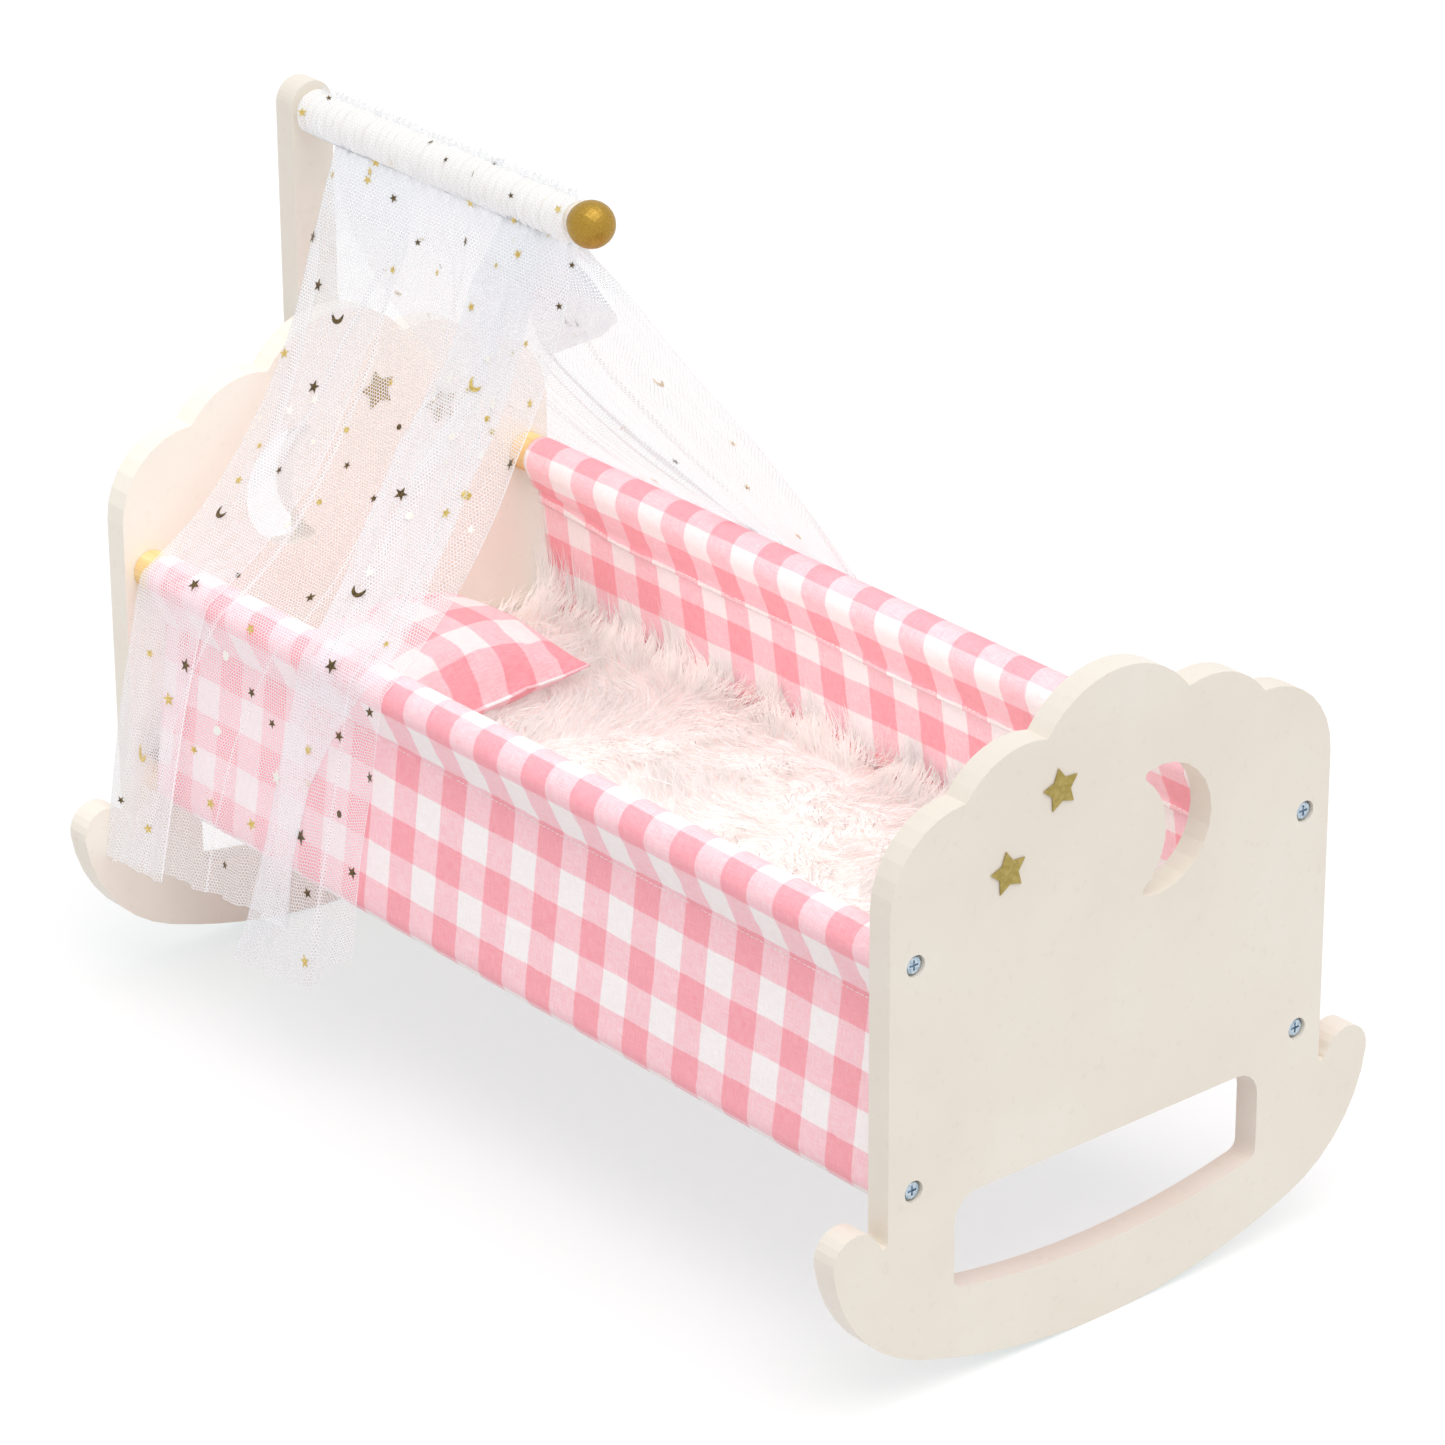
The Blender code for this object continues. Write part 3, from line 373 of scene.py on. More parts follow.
def whiteFur():
    # each hair carries its tint, 0 white to 1 cream at random and up to 2 pink on hairs that
    # stand by the walls, a painted reflection of the sling's pink walls; and how far along it a point lies,
    # and lets light through
    f = Finish("whiteFur", 0.75, 0.0, 0.6)
    tint = f.add("Attribute", attribute_name="hairTint").outputs["Fac"]
    reach = f.add("Attribute", attribute_name="hairReach").outputs["Fac"]
    hair = f.blend(f.spread(tint, 0, 1), colour("F8F5F3"), colour("F6F1ED"))
    # pink: painted reflection of the sling's walls on the hairs beside them
    hair = f.blend(f.spread(tint, 1, 2), hair, colour("FFE7E3"))
    # painted shade: the roots are painted pinker, for the shade deep among the hairs
    shade = f.blend(f.spread(reach, 0, 0.7, 0.20, 0), hair, colour("FFEBE7"))
    f.paint(shade)
    # painted glow: the hairs give out light of their own, more for the pink ones by the walls, standing in
    # for light that wanders between them
    f.feed(f.shader, "Emission Color", colour("FFF7F4"))
    f.feed(f.shader, "Emission Strength", f.spread(tint, 1, 2, 0.23, 0.29))
    f.show(f.letThrough(shade, 0.22))
    return f.material


def furBacking():
    f = Finish("furBacking", 0.9)
    where = f.place()
    knit = f.noise(where, 800, 2)
    f.paint(f.blend(knit, colour("FFECE8"), colour("FFF6F4")))
    f.bump(knit, 0.3, 0.0005)
    return f.material


def tulle(name, pitch, hole, tint, wide, gathered):
    # knotted net: threads round holes on a staggered grid, in the cloth's UV metres,
    # with a close edge on both sides of a cloth that is wide metres across, and
    # bunched from gathered[0] to gathered[1] down it
    f = Finish(name, 0.70, 0.0, 0.10)
    uv = f.add("UVMap").outputs["UV"]
    wander = f.add("TexNoise", {"Vector": uv, "Scale": 60, "Detail": 1})
    slight = f.vector("MULTIPLY", wander.outputs["Color"], (pitch * 1.2,) * 3)
    cell = (pitch, pitch * math.sqrt(3), 1)
    grid = f.vector("DIVIDE", f.vector("ADD", uv, slight), cell)
    nearest = []
    for half in (0.0, 0.5):
        part = f.vector("FRACTION", f.vector("ADD", grid, (half, half, 0)))
        flat = f.vector("MULTIPLY", f.vector("SUBTRACT", part, (0.5, 0.5, 0)), (cell[0], cell[1], 0))
        nearest.append(f.vector("LENGTH", flat, output="Value"))
    far = f.sum("MINIMUM", nearest[0], nearest[1])
    mesh = f.spread(far, hole * 0.82, hole * 1.12)
    axes = f.add("SeparateXYZ", {0: uv}).outputs
    edge = f.sum("ABSOLUTE", f.sum("SUBTRACT", axes["X"], wide / 2))
    middle, half = (gathered[0] + gathered[1]) / 2, (gathered[1] - gathered[0]) / 2
    away = f.sum("ABSOLUTE", f.sum("SUBTRACT", axes["Y"], middle))
    bunched = f.spread(away, half, half + 0.035, 0.84, 0.0)
    thread = f.sum("MAXIMUM", mesh, f.spread(edge, wide / 2 - 0.0008, wide / 2 - 0.0006, 0, 0.9))
    thread = f.sum("MAXIMUM", thread, bunched)
    # small pleats run down the cloth, close on one side and faded out on the other
    pleats = f.sum("SUBTRACT", f.noise(f.place((17, 1.3, 1), uv=True), 1, 0.6), 0.5)
    faded = f.spread(pleats, 0.006, 0.026, 0.72, 0.0)
    thread = f.sum("MAXIMUM", thread, f.sum("MULTIPLY", f.spread(pleats, -0.002, 0.002), faded))
    # the first tint fills the holes faintly and edges the threads: it is painted shade of what is seen
    # through the net
    f.paint(f.blend(thread, colour(tint[0]), colour(tint[1])))
    f.bump(thread, 0.2, 0.0002)
    # painted glow: the threads give out light of their own, most where the cloth is bunched on the sleeve,
    # standing in for the light that the fine threads scatter all round
    f.feed(f.shader, "Emission Color", colour(tint[1]))
    f.feed(f.shader, "Emission Strength", f.spread(bunched, 0, 0.84, 0.022, 0.13))
    solid = f.spread(thread, 0, 1, 0.07, 0.95)
    gap = f.add("BsdfTransparent").outputs[0]
    f.show(f.add("MixShader", {0: solid, 1: gap, 2: f.letThrough(colour(tint[1]), 0.35)}).outputs[0])
    return f.material


def sewingThread():
    f = Finish("sewingThread", 0.6)
    twist = f.noise(f.place((900, 3000, 3000)), 1, 1)
    f.paint(f.blend(twist, colour("F7E4E4"), colour("FFFDFC")))
    return f.material


def sequinFoil(name, dark, bright, metallic, roughness):
    f = Finish(name, roughness, metallic)
    sparkle = f.noise(f.place(), 900, 2)
    f.paint(f.blend(f.spread(sparkle, 0.35, 0.65), colour(dark), colour(bright)))
    f.bump(sparkle, 0.15, 0.0002)
    return f.material


clothCheck = (0.0160, 0.01645)      # across and down the cot
cream = creamPaint()
zinc = zincPlate()
foil = goldFoil()
wood = bareWood()
finishes = {
    "footboard": cream, "headboard": cream, "canopy_post": cream, "canopy_rod": cream,
    "rod_ball": goldPaint(), "base_board": hardboard(),
}
for name in nodes:
    if "screw" in name:
        finishes[name] = zinc
    elif "star" in name:
        finishes[name] = foil
    elif "rail" in name:
        finishes[name] = wood
for name, material in finishes.items():
    for place in nodes[name].material_slots:
        place.material = material
slingCloth = gingham("slingGingham", *clothCheck, (-0.0093, -0.0080))
pillowCloth = gingham("pillowGingham", *clothCheck, (-0.0078, -0.0008))
thread = sewingThread()
print("finishes mixed")


# Shared ways of making a piece

def vertexPlaces(mesh):
    places = np.zeros(len(mesh.vertices) * 3)
    mesh.vertices.foreach_get("co", places)
    return places.reshape(-1, 3)


def layCloth(mesh, cloth):
    # the UV map, from where each vertex lies on the flat cloth in metres
    corner = np.zeros(len(mesh.loops), int)
    mesh.loops.foreach_get("vertex_index", corner)
    mesh.uv_layers[0].data.foreach_set("uv", cloth[corner].ravel())


def applied(piece, name, kind, **settings):
    # puts a modifier on the active piece and applies it
    made = piece.modifiers.new(name, kind)
    for key, value in settings.items():
        setattr(made, key, value)
    bpy.ops.object.modifier_apply(modifier=name)


def gridSheet(name, points, cloth, material, thickness=0.0):
    # a grid laid out at points[row, column], its UV map in metres of flat cloth
    rows, columns = points.shape[:2]
    clearSelection()
    bpy.ops.mesh.primitive_grid_add(x_subdivisions=columns - 1, y_subdivisions=rows - 1, size=2)
    sheet = bpy.context.object
    sheet.name = name
    mesh = sheet.data
    flat = vertexPlaces(mesh)
    column = np.rint((flat[:, 0] + 1) / 2 * (columns - 1)).astype(int)
    row = np.rint((flat[:, 1] + 1) / 2 * (rows - 1)).astype(int)
    mesh.vertices.foreach_set("co", points[row, column].ravel())
    layCloth(mesh, cloth[row, column])
    mesh.materials.append(material)
    mesh.update()
    if thickness:
        applied(sheet, "wall", "SOLIDIFY", thickness=thickness, offset=0)
    bpy.ops.object.shade_smooth()
    return sheet


def settle(piece, slot, *stoodFor):
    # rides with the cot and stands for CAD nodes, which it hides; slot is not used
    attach(piece, "root")
    if stoodFor:
        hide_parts(*stoodFor)


def copiesOf(name, pattern, places, material, slot):
    # one mesh that holds a copy of pattern at each matrix of places
    body = bmesh.new()
    for place in places:
        known = len(body.verts)
        body.from_mesh(pattern.data)
        body.verts.ensure_lookup_table()
        bmesh.ops.transform(body, matrix=place, verts=body.verts[known:])
    mesh = bpy.data.meshes.new(name)
    body.to_mesh(mesh)
    body.free()
    mesh.materials.append(material)
    piece = bpy.data.objects.new(name, mesh)
    bpy.context.scene.collection.objects.link(piece)
    settle(piece, slot)
    return piece


def ripple(where, seed, longest, count=5):
    # a smooth random wave along where, between -1 and 1, made of count waves that each
    # are shorter and lower than the last
    dice = np.random.default_rng(seed)
    total = np.zeros_like(where)
    weight = 0
    for i in range(count):
        size = 0.75 ** i
        turn = 2 * math.pi * where / (longest * 0.62 ** i) + dice.uniform(0, 2 * math.pi)
        total += size * np.sin(turn)
        weight += size
    return total / weight


def ease(value, start, end):
    # 0 up to start, 1 from end on, smooth between
    share = np.clip((value - start) / (end - start), 0, 1)
    return share * share * (3 - 2 * share)


# Gingham sling: one cloth sewn into a pocket round each upper rail

slingSet = {
    "headEnd": -0.2327,
    "footEnd": 0.2548,
    "railY": 0.1065,
    "upperRail": 0.1965,
    "lowerRail": 0.0965,
    "radius": 0.0096,         # of the cloth's middle round a rail
    "thickness": 0.0005,
    "valley": 0.1742,         # where pocket and wall meet
    "stitchDrop": 0.0018,     # stitches below the valley
    "hemDrop": 0.0040,        # end of the turned-in edge below it
    "farHeadLift": 0.006,
    "columnStep": 0.0028,
    "pucker": 0.00045,        # along the seam
    "puckerWide": 0.0055,
    "stripFold": 0.0007,      # soft creases between rail and seam
    "strip": (0.008, 0.006),  # how far above the valley they lie, and how far they spread
    "wallWave": 0.0008,
    "waves": (0.021, 0.055, 0.23),    # how long these three are along the cot
    "hemIn": 0.0011,          # the turned-in edge, inside the rail's middle
    "wallOut": 0.0002,        # the wall's top, outside it
    "wallRun": 0.0745,        # of the wall, down to the lower rail
    "checks": (0.3949, 0.4749),   # from the near seam to the far one and to the far hem
    "hemSlack": 0.0025,
    "farCheck": (0.012, 0.0049),  # how much shorter and further along it is at the far side
    "stitch": 0.0021,
    "stitchPitch": 0.0029,
    "stitchRadius": 0.00021,
}


def halfProfile():
    # outward and up, from the hem inside, over the rail and down to the bottom
    s = slingSet
    railY, top, low, r = s["railY"], s["upperRail"], s["lowerRail"], s["radius"]
    turn = math.acos(r / (top - s["valley"]))
    lowTurn = math.pi / 2 - math.acos(r / (s["valley"] - low))

    def straight(begin, finish, steps):
        return [(begin[0] + (finish[0] - begin[0]) * (i / steps),
                 begin[1] + (finish[1] - begin[1]) * (i / steps)) for i in range(1, steps + 1)]

    def arc(height, first, last, steps):
        angles = [first + (last - first) * i / steps for i in range(steps + 1)]
        return [(railY + r * math.cos(a), height + r * math.sin(a)) for a in angles]

    points = [(railY - s["hemIn"], s["valley"] - s["hemDrop"] * (1 - i / 4)) for i in range(5)]
    over = arc(top, 1.5 * math.pi - turn, -math.pi / 2 + turn, 24)
    under = arc(low, lowTurn, -math.pi / 2, 8)
    valley = (railY + s["wallOut"], s["valley"])
    points += straight(points[4], over[0], 9)[:-1] + over
    points += straight(over[-1], valley, 9) + straight(valley, under[0], 24) + under[1:]
    points += [(railY * (1 - i / 15), low - r) for i in range(1, 16)]
    return np.array(points)


def farLift(x):
    # the far seam rises towards the head of the cot
    s = slingSet
    return s["farHeadLift"] * (1 - ease(x, s["headEnd"], s["headEnd"] + 0.07))


def makeSling():
    s = slingSet
    half = halfProfile()
    near = half * (-1, 1)
    far = half[::-1][1:]
    section = np.vstack([near, far])
    columns = round((s["footEnd"] - s["headEnd"]) / s["columnStep"]) + 1
    x = np.linspace(s["headEnd"], s["footEnd"], columns)
    steps = np.linalg.norm(np.diff(section, axis=0), axis=1)
    run = np.concatenate([[0], np.cumsum(steps)])
    valleyRow = 4 + 8 + 25 + 9          # the near outer seam, counted from the hem
    run = run - run[valleyRow]
    farValley = len(section) - 1 - valleyRow
    innerFar = len(section) - 5
    # rows of checks are set by what shows, and the slack lies under the cot and in the
    # seams: for some rows, where they are on the flat cloth
    farSeam, hem = s["checks"]
    low = 32                            # rows from a seam down to the bottom
    marks = {
        0: run[0] + s["hemSlack"], valleyRow - 4: run[valleyRow - 4] + s["hemSlack"],
        valleyRow: 0, valleyRow + low: run[valleyRow + low],
        farValley - low: farSeam - run[farValley] + run[farValley - low],
        farValley: farSeam, innerFar: hem, len(run) - 1: hem + run[-1] - run[innerFar],
    }
    down = np.interp(run, run[list(marks)], list(marks.values()))
    # outward direction of each row
    tangent = np.gradient(section, axis=0)
    normal = np.stack([-tangent[:, 1], tangent[:, 0]], 1)
    normal /= np.linalg.norm(normal, axis=1)[:, None]
    points, cloth = [], []
    short, middling, long = s["waves"]
    for (y, z), (outY, outZ), way, below in zip(section, normal, run, down):
        isFar = y > 0
        above = z - s["valley"]
        overSeam = math.exp(-(above / s["puckerWide"]) ** 2)
        wall = ease(z, s["lowerRail"], s["lowerRail"] + 0.03) * (above < 0)
        strip = math.exp(-((above - s["strip"][0]) / s["strip"][1]) ** 2)
        offset = s["pucker"] * overSeam * ripple(x + 0.004 * z, 11 + isFar, short, 6)
        offset = offset + s["stripFold"] * strip * ripple(x + 1.2 * above, 31 + isFar, middling, 4)
        offset = offset + s["wallWave"] * wall * ripple(x + 0.3 * z, 21 + isFar, long, 4)
        lift = isFar * farLift(x) * overSeam
        points.append(np.stack([x, y + outY * offset, z + outZ * offset + lift], 1))
        cross = ease(way, 0.1, 0.3)
        along = x * (1 - s["farCheck"][0] * cross) + s["farCheck"][1] * cross
        cloth.append(np.stack([along, np.full(columns, below)], 1))
    sling = gridSheet("slingCloth", np.stack(points), np.stack(cloth), slingCloth, s["thickness"])
    settle(sling, "gingham", "gingham_sling")
    return sling


def makeStitches():
    # one short thread, copied along both seams on both faces
    s = slingSet
    clearSelection()
    bpy.ops.mesh.primitive_cylinder_add(vertices=6, radius=s["stitchRadius"], depth=s["stitch"])
    stitch = bpy.context.object
    applied(stitch, "round", "BEVEL", width=s["stitchRadius"] * 0.8, segments=1, limit_method="ANGLE")
    lay = Matrix.Rotation(math.pi / 2, 4, "Y")
    count = int((s["footEnd"] - s["headEnd"] - 0.004) / s["stitchPitch"])
    dice = np.random.default_rng(5)
    places = []
    lean = s["radius"] / s["wallRun"] * s["stitchDrop"]
    proud = s["thickness"] / 2 + s["stitchRadius"] * 0.5
    faces = (s["railY"] - s["hemIn"] - proud, s["railY"] + s["wallOut"] + lean + proud)
    for side in (-1, 1):
        for out in faces:
            for i in range(count):
                x = s["headEnd"] + 0.003 + i * s["stitchPitch"]
                z = s["valley"] - s["stitchDrop"] + dice.uniform(-0.00012, 0.00012)
                if side > 0:
                    z += farLift(x) * 0.85
                tip = Matrix.Rotation(dice.uniform(-0.06, 0.06), 4, "Y")
                places.append(Matrix.Translation((x, side * out, z)) @ tip @ lay)
    made = copiesOf("slingStitches", stitch, places, thread, "gingham")
    bpy.data.objects.remove(stitch)
    return made


makeSling()
makeStitches()
print("sling sewn")


# Pillow: two cloths sewn at the edge and blown up, then pressed on the mat

pillowSet = {
    "length": 0.0955,
    "width": 0.145,
    "grid": (38, 58),
    "gap": 0.002,             # between the two cloths before they are blown up
    "middle": (-0.1865, -0.0115),
    "turn": 7,                # degrees
    "seam": 0.1314,
    "matTop": 0.1222,
    "crown": 0.0285,          # above the seam
    "fullness": (0.62, 1.45), # from the head of the cot to its foot, fuller below 1
    "slope": 0.17,            # down to the near seam
    "belly": 0.0090,
    "frames": 22,
    "cloth": {
        "quality": 8, "mass": 0.06, "tension_stiffness": 15, "compression_stiffness": 15,
        "shear_stiffness": 7, "bending_stiffness": 0.3, "use_pressure": True,
        "uniform_pressure_force": 6,
    },
    "cap": 0.030,             # how far a point may move
    "preview": 0.022,         # how far it rises where nothing is simulated
    "press": 2.2,             # how flat the belly is
    "lip": 0.0013,
    "lipRows": 6,
}


def makePillow():
    s = pillowSet
    clearSelection()
    along, across = s["grid"]
    bpy.ops.mesh.primitive_grid_add(x_subdivisions=along, y_subdivisions=across, size=1)
    pillow = bpy.context.object
    pillow.name = "pillowPad"
    mesh = pillow.data
    flat = vertexPlaces(mesh) * (s["length"], s["width"], 1)
    mesh.vertices.foreach_set("co", flat.ravel())
    layCloth(mesh, flat[:, :2])
    mesh.materials.append(pillowCloth)
    applied(pillow, "twoCloths", "SOLIDIFY", thickness=s["gap"], offset=0)
    mesh = pillow.data
    rest = vertexPlaces(mesh)
    cloth = pillow.modifiers.new("blownUp", "CLOTH")
    for key, value in s["cloth"].items():
        setattr(cloth.settings, key, value)
    cloth.settings.effector_weights.gravity = 0
    cloth.point_cache.frame_start = 1
    cloth.point_cache.frame_end = s["frames"]
    scene = bpy.context.scene
    for number in range(1, s["frames"] + 1):
        scene.frame_set(number)
    bpy.ops.object.modifier_apply(modifier="blownUp")
    scene.frame_set(1)
    mesh = pillow.data
    moved = vertexPlaces(mesh) - rest
    far = np.linalg.norm(moved, axis=1)
    now = rest + moved * np.minimum(1, s["cap"] / np.maximum(far, 1e-9))[:, None]
    print("pillow blown up to", np.round(np.ptp(now, axis=0) * 1000, 1), "mm")
    # the crown's height is set, and the belly pressed flat on the mat
    top = now[:, 2] > 0
    power = np.interp(now[:, 0] / s["length"], (-0.5, 0.5), s["fullness"])
    rise = np.maximum(now[:, 2] / now[:, 2].max(), 0) ** power
    tilt = 1 + s["slope"] * now[:, 1] / (s["width"] / 2)
    now[top, 2] = rise[top] * s["crown"] * tilt[top]
    fall = np.clip(-now[~top, 2] / -now[:, 2].min(), 0, 1)
    now[~top, 2] = -s["belly"] * (1 - (1 - fall) ** s["press"])
    angle = math.radians(s["turn"])
    x = s["middle"][0] + now[:, 0] * math.cos(angle) - now[:, 1] * math.sin(angle)
    y = s["middle"][1] + now[:, 0] * math.sin(angle) + now[:, 1] * math.cos(angle)
    z = np.maximum(s["seam"] + now[:, 2], s["matTop"])
    now = np.stack([x, y, z], 1)
    mesh.vertices.foreach_set("co", now.ravel())
    mesh.update()
    applied(pillow, "finer", "SUBSURF", levels=1, render_levels=1)
    bpy.ops.object.shade_smooth()
    settle(pillow, "gingham", "pillow")
    makeLip(rest, now)


def makeLip(rest, now):
    # the seam's narrow lip, all round between the two cloths
    s = pillowSet
    upper = np.arange(len(rest) // 2)
    side = np.maximum(np.abs(rest[upper, 0]) / s["length"], np.abs(rest[upper, 1]) / s["width"])
    edge = upper[side > 0.4999]
    turn = np.arctan2(rest[edge, 1], rest[edge, 0])
    edge = edge[np.argsort(turn)]
    path = (now[edge] + now[edge + len(upper)]) / 2
    outward = path - path.mean(axis=0)
    outward[:, 2] = 0
    outward /= np.linalg.norm(outward, axis=1)[:, None]
    closed = np.append(np.arange(len(path)), 0)
    points, cloth = [], []
    for i in range(s["lipRows"]):
        angle = math.pi * (i / (s["lipRows"] - 1) - 0.5)
        ring = path + outward * (s["lip"] * (1.5 * math.cos(angle) - 0.3))
        ring[:, 2] += s["lip"] * 0.55 * math.sin(angle)
        points.append(ring[closed])
        cloth.append(rest[edge[closed], :2] * (1 + 0.002 * i))
    settle(gridSheet("pillowLip", np.stack(points), np.stack(cloth), pillowCloth), "gingham")


makePillow()
print("pillow stuffed")


# Fur mat: a backing with three spreads of hair

furSet = {
    "bottom": 0.1102,
    "backing": 0.0078,         # its height over the bottom
    "grid": (260, 120),
    "thickness": 0.0012,
    "lump": 0.0016,
    "middleX": 0.0058,
    "halfLength": 0.2470,
    "halfWidth": 0.1100,
    "hairs": 9000,             # in each spread
    "length": (0.013, 0.023),
    "rise": (0.0030, 0.0075),  # tip above the backing
    "width": 0.00050,
    "clump": 0.0085,
    "border": 0.012,           # one hair in six grows this near the walls
    "edge": 0.022,             # a strip along the walls, where hairs lean out and stand up
    "outward": 1.6,
    "stand": 0.011,
    "wander": (2.3, 0.9),      # of the combed direction, broad and fine, in radians
    "scatter": 0.30,
    "bend": 0.86,              # a bent hair's reach, as a share of a straight one's
    "shares": (0, 0.35, 0.70, 1.0),    # where along a hair its four points lie
    "tapers": (0.8, 1.0, 0.7),     # the ribbon's width at the first three
    "draw": 0.62,              # how far tips go to their clump's middle
    "under": (0.0085, 0.014, 0.0006),  # the pillow's rise at its edge, how far in, and a gap
    "lit": (0.15, -0.35, 0.92),    # the way that ribbons turn their face
    "boards": (-0.2433, 0.2550),   # the panels' inner faces
    "walls": (0.1161, 0.0099, 0.0016),    # half the sling's width low down, how far it draws in, and a gap
    "pillowHalf": (0.045, 0.070),
}


def field(x, y, seed, size):
    # a smooth random value over the mat, mostly between -1 and 1
    dice = np.random.default_rng(seed)
    total = np.zeros_like(x)
    for _ in range(6):
        angle = dice.uniform(0, 2 * math.pi)
        along = x * math.cos(angle) + y * math.sin(angle)
        total += np.sin(2 * math.pi * along / (size * dice.uniform(0.6, 1.6)) + dice.uniform(0, 6.28))
    return total / 2.4


def wallInside(z):
    # half the clear width between the sling's walls at height z
    low, drawn, gap = furSet["walls"]
    share = (z - slingSet["lowerRail"]) / (slingSet["valley"] - slingSet["lowerRail"])
    return low - drawn * share - gap


def makeBacking():
    s = furSet
    x = np.linspace(s["middleX"] - s["halfLength"], s["middleX"] + s["halfLength"], s["grid"][0])
    y = np.linspace(-s["halfWidth"], s["halfWidth"], s["grid"][1])
    gridX, gridY = np.meshgrid(x, y)
    lump = 0.6 * field(gridX, gridY, 3, 0.030) + 0.5 * field(gridX, gridY, 4, 0.012)
    height = s["bottom"] + s["backing"] + s["lump"] * np.clip(lump, -1, 1) * 0.5
    points = np.stack([gridX, gridY, height], 2)
    cloth = np.stack([gridX, gridY], 2)
    backing = gridSheet("furBacking", points, cloth, furBacking(), s["thickness"])
    settle(backing, "white_fur", "fur_mat")
    return backing


def combHairs(dice):
    # each hair's root, the way it leans, its reach over the mat, its rise above it and,
    # from 0 to 1, how upright it stands
    s = furSet
    count = s["hairs"]
    x = s["middleX"] + dice.uniform(-1, 1, count) * (s["halfLength"] - 0.002)
    y = dice.uniform(-1, 1, count) * (s["halfWidth"] - 0.001)
    few = count // 6
    y[:few] = np.sign(y[:few]) * (s["halfWidth"] - 0.001 - s["border"] * dice.uniform(0, 1, few))
    # combed direction, wandering over the mat and outwards at its edge
    broad, fine = s["wander"]
    heading = broad * field(x, y, 7, 0.16) + fine * field(x, y, 8, 0.05)
    lean = np.stack([np.cos(heading), np.sin(heading)], 1)
    edge = ease(np.abs(y), s["halfWidth"] - s["edge"], s["halfWidth"])
    lean[:, 1] += np.sign(y) * edge * s["outward"]
    lean += dice.normal(0, s["scatter"], (count, 2))
    lean[:, 1] = np.where(edge > 0.2, np.sign(y) * np.abs(lean[:, 1]), lean[:, 1])
    lean /= np.linalg.norm(lean, axis=1)[:, None]
    length = dice.uniform(*s["length"], count) * (1 + 0.18 * field(x, y, 9, 0.03))
    headCorner = ease(-x, 0.19, s["halfLength"] - 0.012) * ease(y, 0.03, 0.09)
    rise = dice.uniform(*s["rise"], count) * (1 + 0.12 * field(x, y, 10, 0.04))
    lock = np.clip(0.75 + 0.75 * field(x, y, 12, 0.022), 0.05, 1.6)
    rise = rise + dice.uniform(0.2, 1, count) * lock * (s["stand"] * edge + s["stand"] * headCorner)
    length = np.maximum(length, rise * 1.4)
    root = np.stack([x, y, np.full(count, s["bottom"] + s["backing"] + 0.0008)], 1)
    reach = np.sqrt(np.maximum(length ** 2 - rise ** 2, 1e-6)) * s["bend"]
    return root, lean, reach, rise, np.maximum(edge, headCorner)


def hairLines(root, lean, reach, rise):
    # four points along each hair
    s = furSet
    shares = np.array(s["shares"])
    line = np.zeros((len(root), 4, 3))
    for i, share in enumerate(shares):
        out = reach * (0.35 * share + 0.65 * share ** 1.8)
        line[:, i, :2] = root[:, :2] + lean * out[:, None]
        line[:, i, 2] = root[:, 2] + rise * (1 - (1 - share) ** 1.9)
    # wisps: tips are drawn to the middle of their clump
    size = s["clump"]
    tip = line[:, 3]
    cell = np.floor(tip[:, :2] / size)
    wobble = np.sin(cell[:, 0] * 12.9898 + cell[:, 1] * 78.233) * 43758.5453
    wobble = wobble - np.floor(wobble)
    centre = (cell + 0.2 + 0.6 * np.stack([wobble, (wobble * 7.31) % 1], 1)) * size
    draw = centre - tip[:, :2]
    for i, share in enumerate(shares):
        line[:, i, :2] += draw * (s["draw"] * share ** 2)
    line[:, 1:, 2] += (0.0022 * (wobble - 0.5))[:, None] * shares[1:]
    return line


def holdIn(line):
    # keeps hairs between the boards, between the sling's walls and under the pillow, and
    # says which of them don't grow far under it
    s = furSet
    line[:, :, 0] = np.clip(line[:, :, 0], *s["boards"])
    side = wallInside(line[:, :, 2])
    over = np.maximum(np.abs(line[:, :, 1]) - side, 0)
    line[:, :, 2] += over * 0.55
    line[:, :, 1] = np.clip(line[:, :, 1], -side + over * 0.1, side - over * 0.1)
    turn = math.radians(pillowSet["turn"])
    px = line[:, :, 0] - pillowSet["middle"][0]
    py = line[:, :, 1] - pillowSet["middle"][1]
    along = np.abs(px * math.cos(turn) + py * math.sin(turn)) - s["pillowHalf"][0]
    across = np.abs(-px * math.sin(turn) + py * math.cos(turn)) - s["pillowHalf"][1]
    inside = np.maximum(along, across)
    rise, run, gap = s["under"]
    ceiling = np.where(inside < 0, pillowSet["matTop"] + rise * ease(inside, -run, 0.0) - gap, 1)
    line[:, :, 2] = np.minimum(line[:, :, 2], ceiling)
    return inside[:, 0] > -0.016


